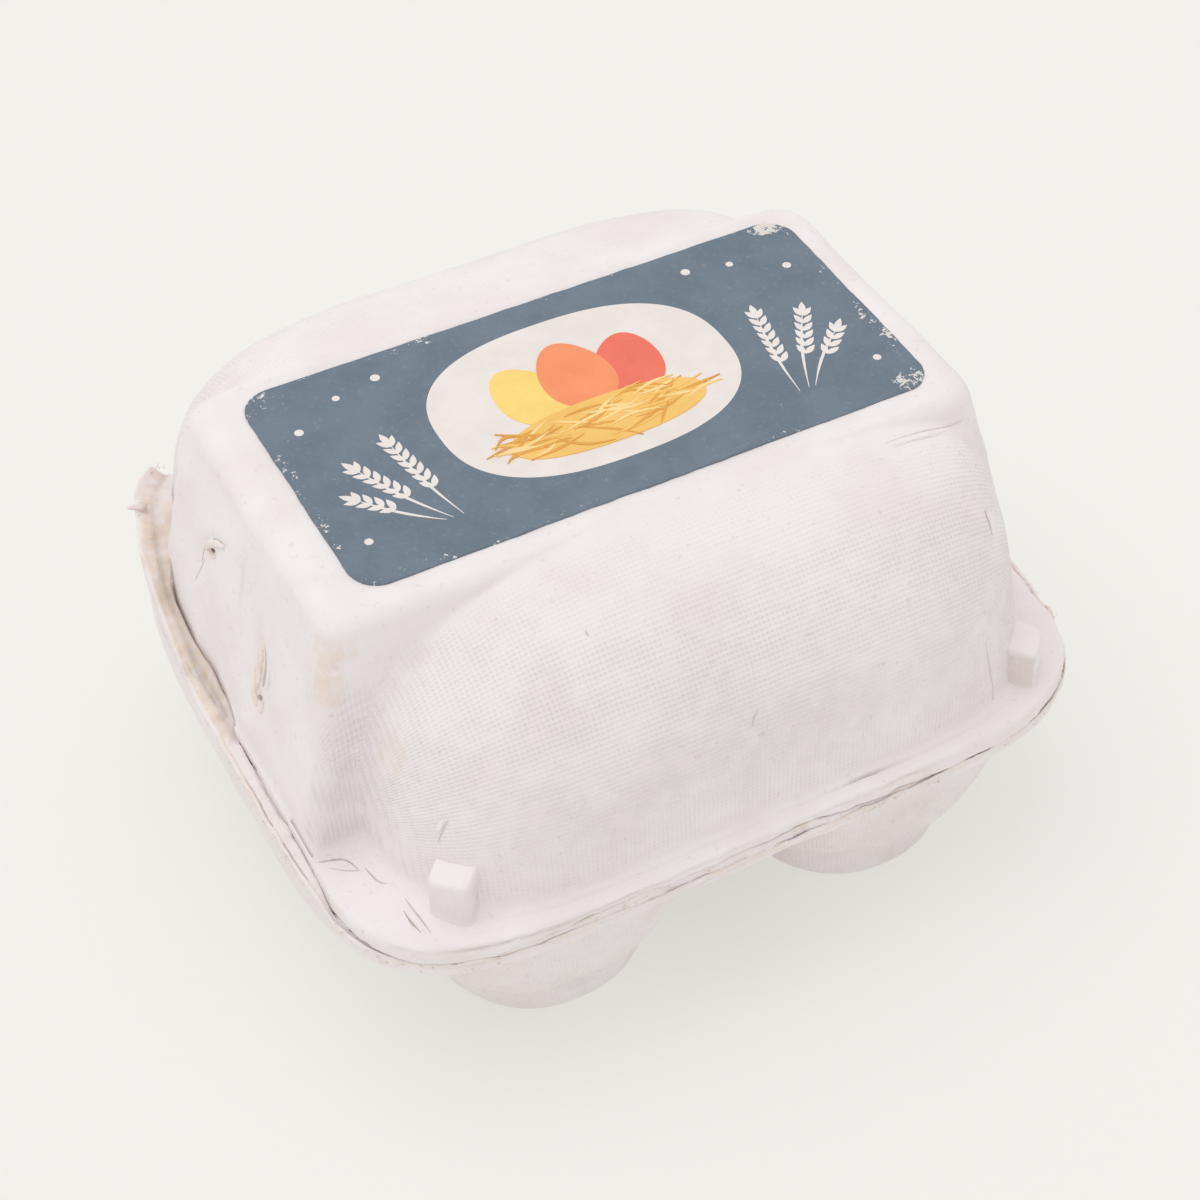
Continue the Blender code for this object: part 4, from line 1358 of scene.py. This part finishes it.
def make_print():
    """The picture on the label, one thin mesh for each ink."""
    shapes = print_shapes()
    placed = 0
    for ink, (colour, deep) in INKS.items():
        points = []
        faces = []
        for shape_ink, layer, outline in shapes:
            if shape_ink != ink:
                continue
            faces += grid_faces(2, len(outline), len(points))
            for z in (-PRINT_DEPTH, LAYER_STEP * layer + SHAPE_STEP * placed):
                points += [(x * MM, y * MM, (LABEL_TOP + z) * MM) for x, y in outline + LABEL_CENTRE]
            placed += 1
        mesh = bpy.data.meshes.new("print_" + ink)
        mesh.from_pydata(points, [], faces)
        item = add_object("print_" + ink, mesh, paper_material("ink_" + ink, colour, deep))
        item.data.set_sharp_from_angle(angle=math.radians(30.0))


# The floor's half size in m, and how much of its light it gives off by itself, so that
# shadows on it stay faint
FLOOR_REACH = 4.0
FLOOR_GLOW = 0.47

# The light: place and size of the lamp in m, its power in W, and the room's brightness
LAMP_PLACE = (-0.42, 0.36, 1.95)
LAMP_SIZE = 1.6
LAMP_POWER = 9.9
LAMP_COLOUR = (1.0, 0.992, 0.982)
ROOM_COLOUR = (1.0, 0.995, 0.985, 1.0)
ROOM_STRENGTH = 0.80


def make_stage():
    """A plain pale floor, which isn't part of the carton."""
    mesh = bpy.data.meshes.new("floor")
    signs = ((-1, -1), (1, -1), (1, 1), (-1, 1))
    mesh.from_pydata([(x * FLOOR_REACH, y * FLOOR_REACH, 0.0) for x, y in signs], [], [(0, 1, 2, 3)])
    graph = Graph("floor_paper")
    place = graph.add('TexCoord').outputs["Object"]
    tone = graph.level(graph.noise(place, 3.0, 2.0), 0.3, 0.7)
    graph.set(graph.shader.inputs["Base Color"], graph.mix(tone, srgb(183, 182, 178), srgb(182, 181, 177)))
    settings = {"Emission Color": srgb(243, 242, 239), "Emission Strength": FLOOR_GLOW,
                "Roughness": 0.95, "Specular IOR Level": 0.1}
    for name, value in settings.items():
        graph.shader.inputs[name].default_value = value
    mesh.materials.append(graph.material)
    new_object("floor", mesh)


def make_light():
    """Soft studio light: a bright room and a wide lamp above, a little behind and to the left."""
    world = bpy.data.worlds.new("soft_room")
    world.use_nodes = True
    background = world.node_tree.nodes["Background"]
    background.inputs["Color"].default_value = ROOM_COLOUR
    background.inputs["Strength"].default_value = ROOM_STRENGTH
    bpy.context.scene.world = world
    lamp = bpy.data.lights.new("overhead", 'AREA')
    lamp.shape = 'SQUARE'
    lamp.size = LAMP_SIZE
    lamp.energy = LAMP_POWER
    lamp.color = LAMP_COLOUR
    item = new_object("overhead", lamp)
    item.location = LAMP_PLACE
    item.rotation_euler = (-Vector(LAMP_PLACE)).to_track_quat('-Z', 'Y').to_euler()
    bpy.context.scene.view_settings.view_transform = 'Standard'


def make_camera():
    """The camera at the photo's view."""
    azimuth = math.radians(CAMERA_AZIMUTH)
    elevation = math.radians(CAMERA_ELEVATION)
    back = Vector((math.sin(azimuth) * math.cos(elevation), -math.cos(azimuth) * math.cos(elevation),
                   math.sin(elevation)))
    right = Vector((math.cos(azimuth), math.sin(azimuth), 0.0))
    up = back.cross(right)
    roll = math.radians(CAMERA_ROLL)
    right_rolled = right * math.cos(roll) + up * math.sin(roll)
    up_rolled = up * math.cos(roll) - right * math.sin(roll)
    data = bpy.data.cameras.new("photo_view")
    data.lens = CAMERA_LENS
    data.sensor_width = CAMERA_SENSOR
    data.sensor_fit = 'HORIZONTAL'
    data.clip_start = 0.01
    camera = new_object("photo_view", data)
    turn = Matrix((right_rolled, up_rolled, back)).transposed().to_4x4()
    place = (Vector(CAMERA_TARGET) + back * CAMERA_DISTANCE) * MM
    camera.matrix_world = Matrix.Translation(place) @ turn
    bpy.context.scene.camera = camera


def main():
    """Dress the carton, and set up its stage."""
    make_camera()
    make_light()
    make_stage()
    lid_pulp = pulp_material("lid_pulp")
    tray_pulp = pulp_material("tray_pulp")
    lid = lid_skin()
    make_piece("lid_skin", [lid], lid_pulp, ["lid"])
    make_piece("latch_buttons", [button_skin(0), button_skin(1)], lid_pulp, [])
    make_piece("lid_marks", marks(lid[0]), lid_pulp, [])
    cups = [cup_skin(sign_x, sign_y) for sign_y in (-1, 1) for sign_x in (-1, 1)]
    make_piece("tray_skin", [tray_flange_skin()] + cups, tray_pulp, ["tray"])
    make_piece("torn_layers", torn_strips() + fibres(), tray_pulp, [])
    make_piece("label_sheet", [label_skin()], paper_material("label_paper", SLATE, SLATE_DEEP),
               ["label"])
    make_print()


main()
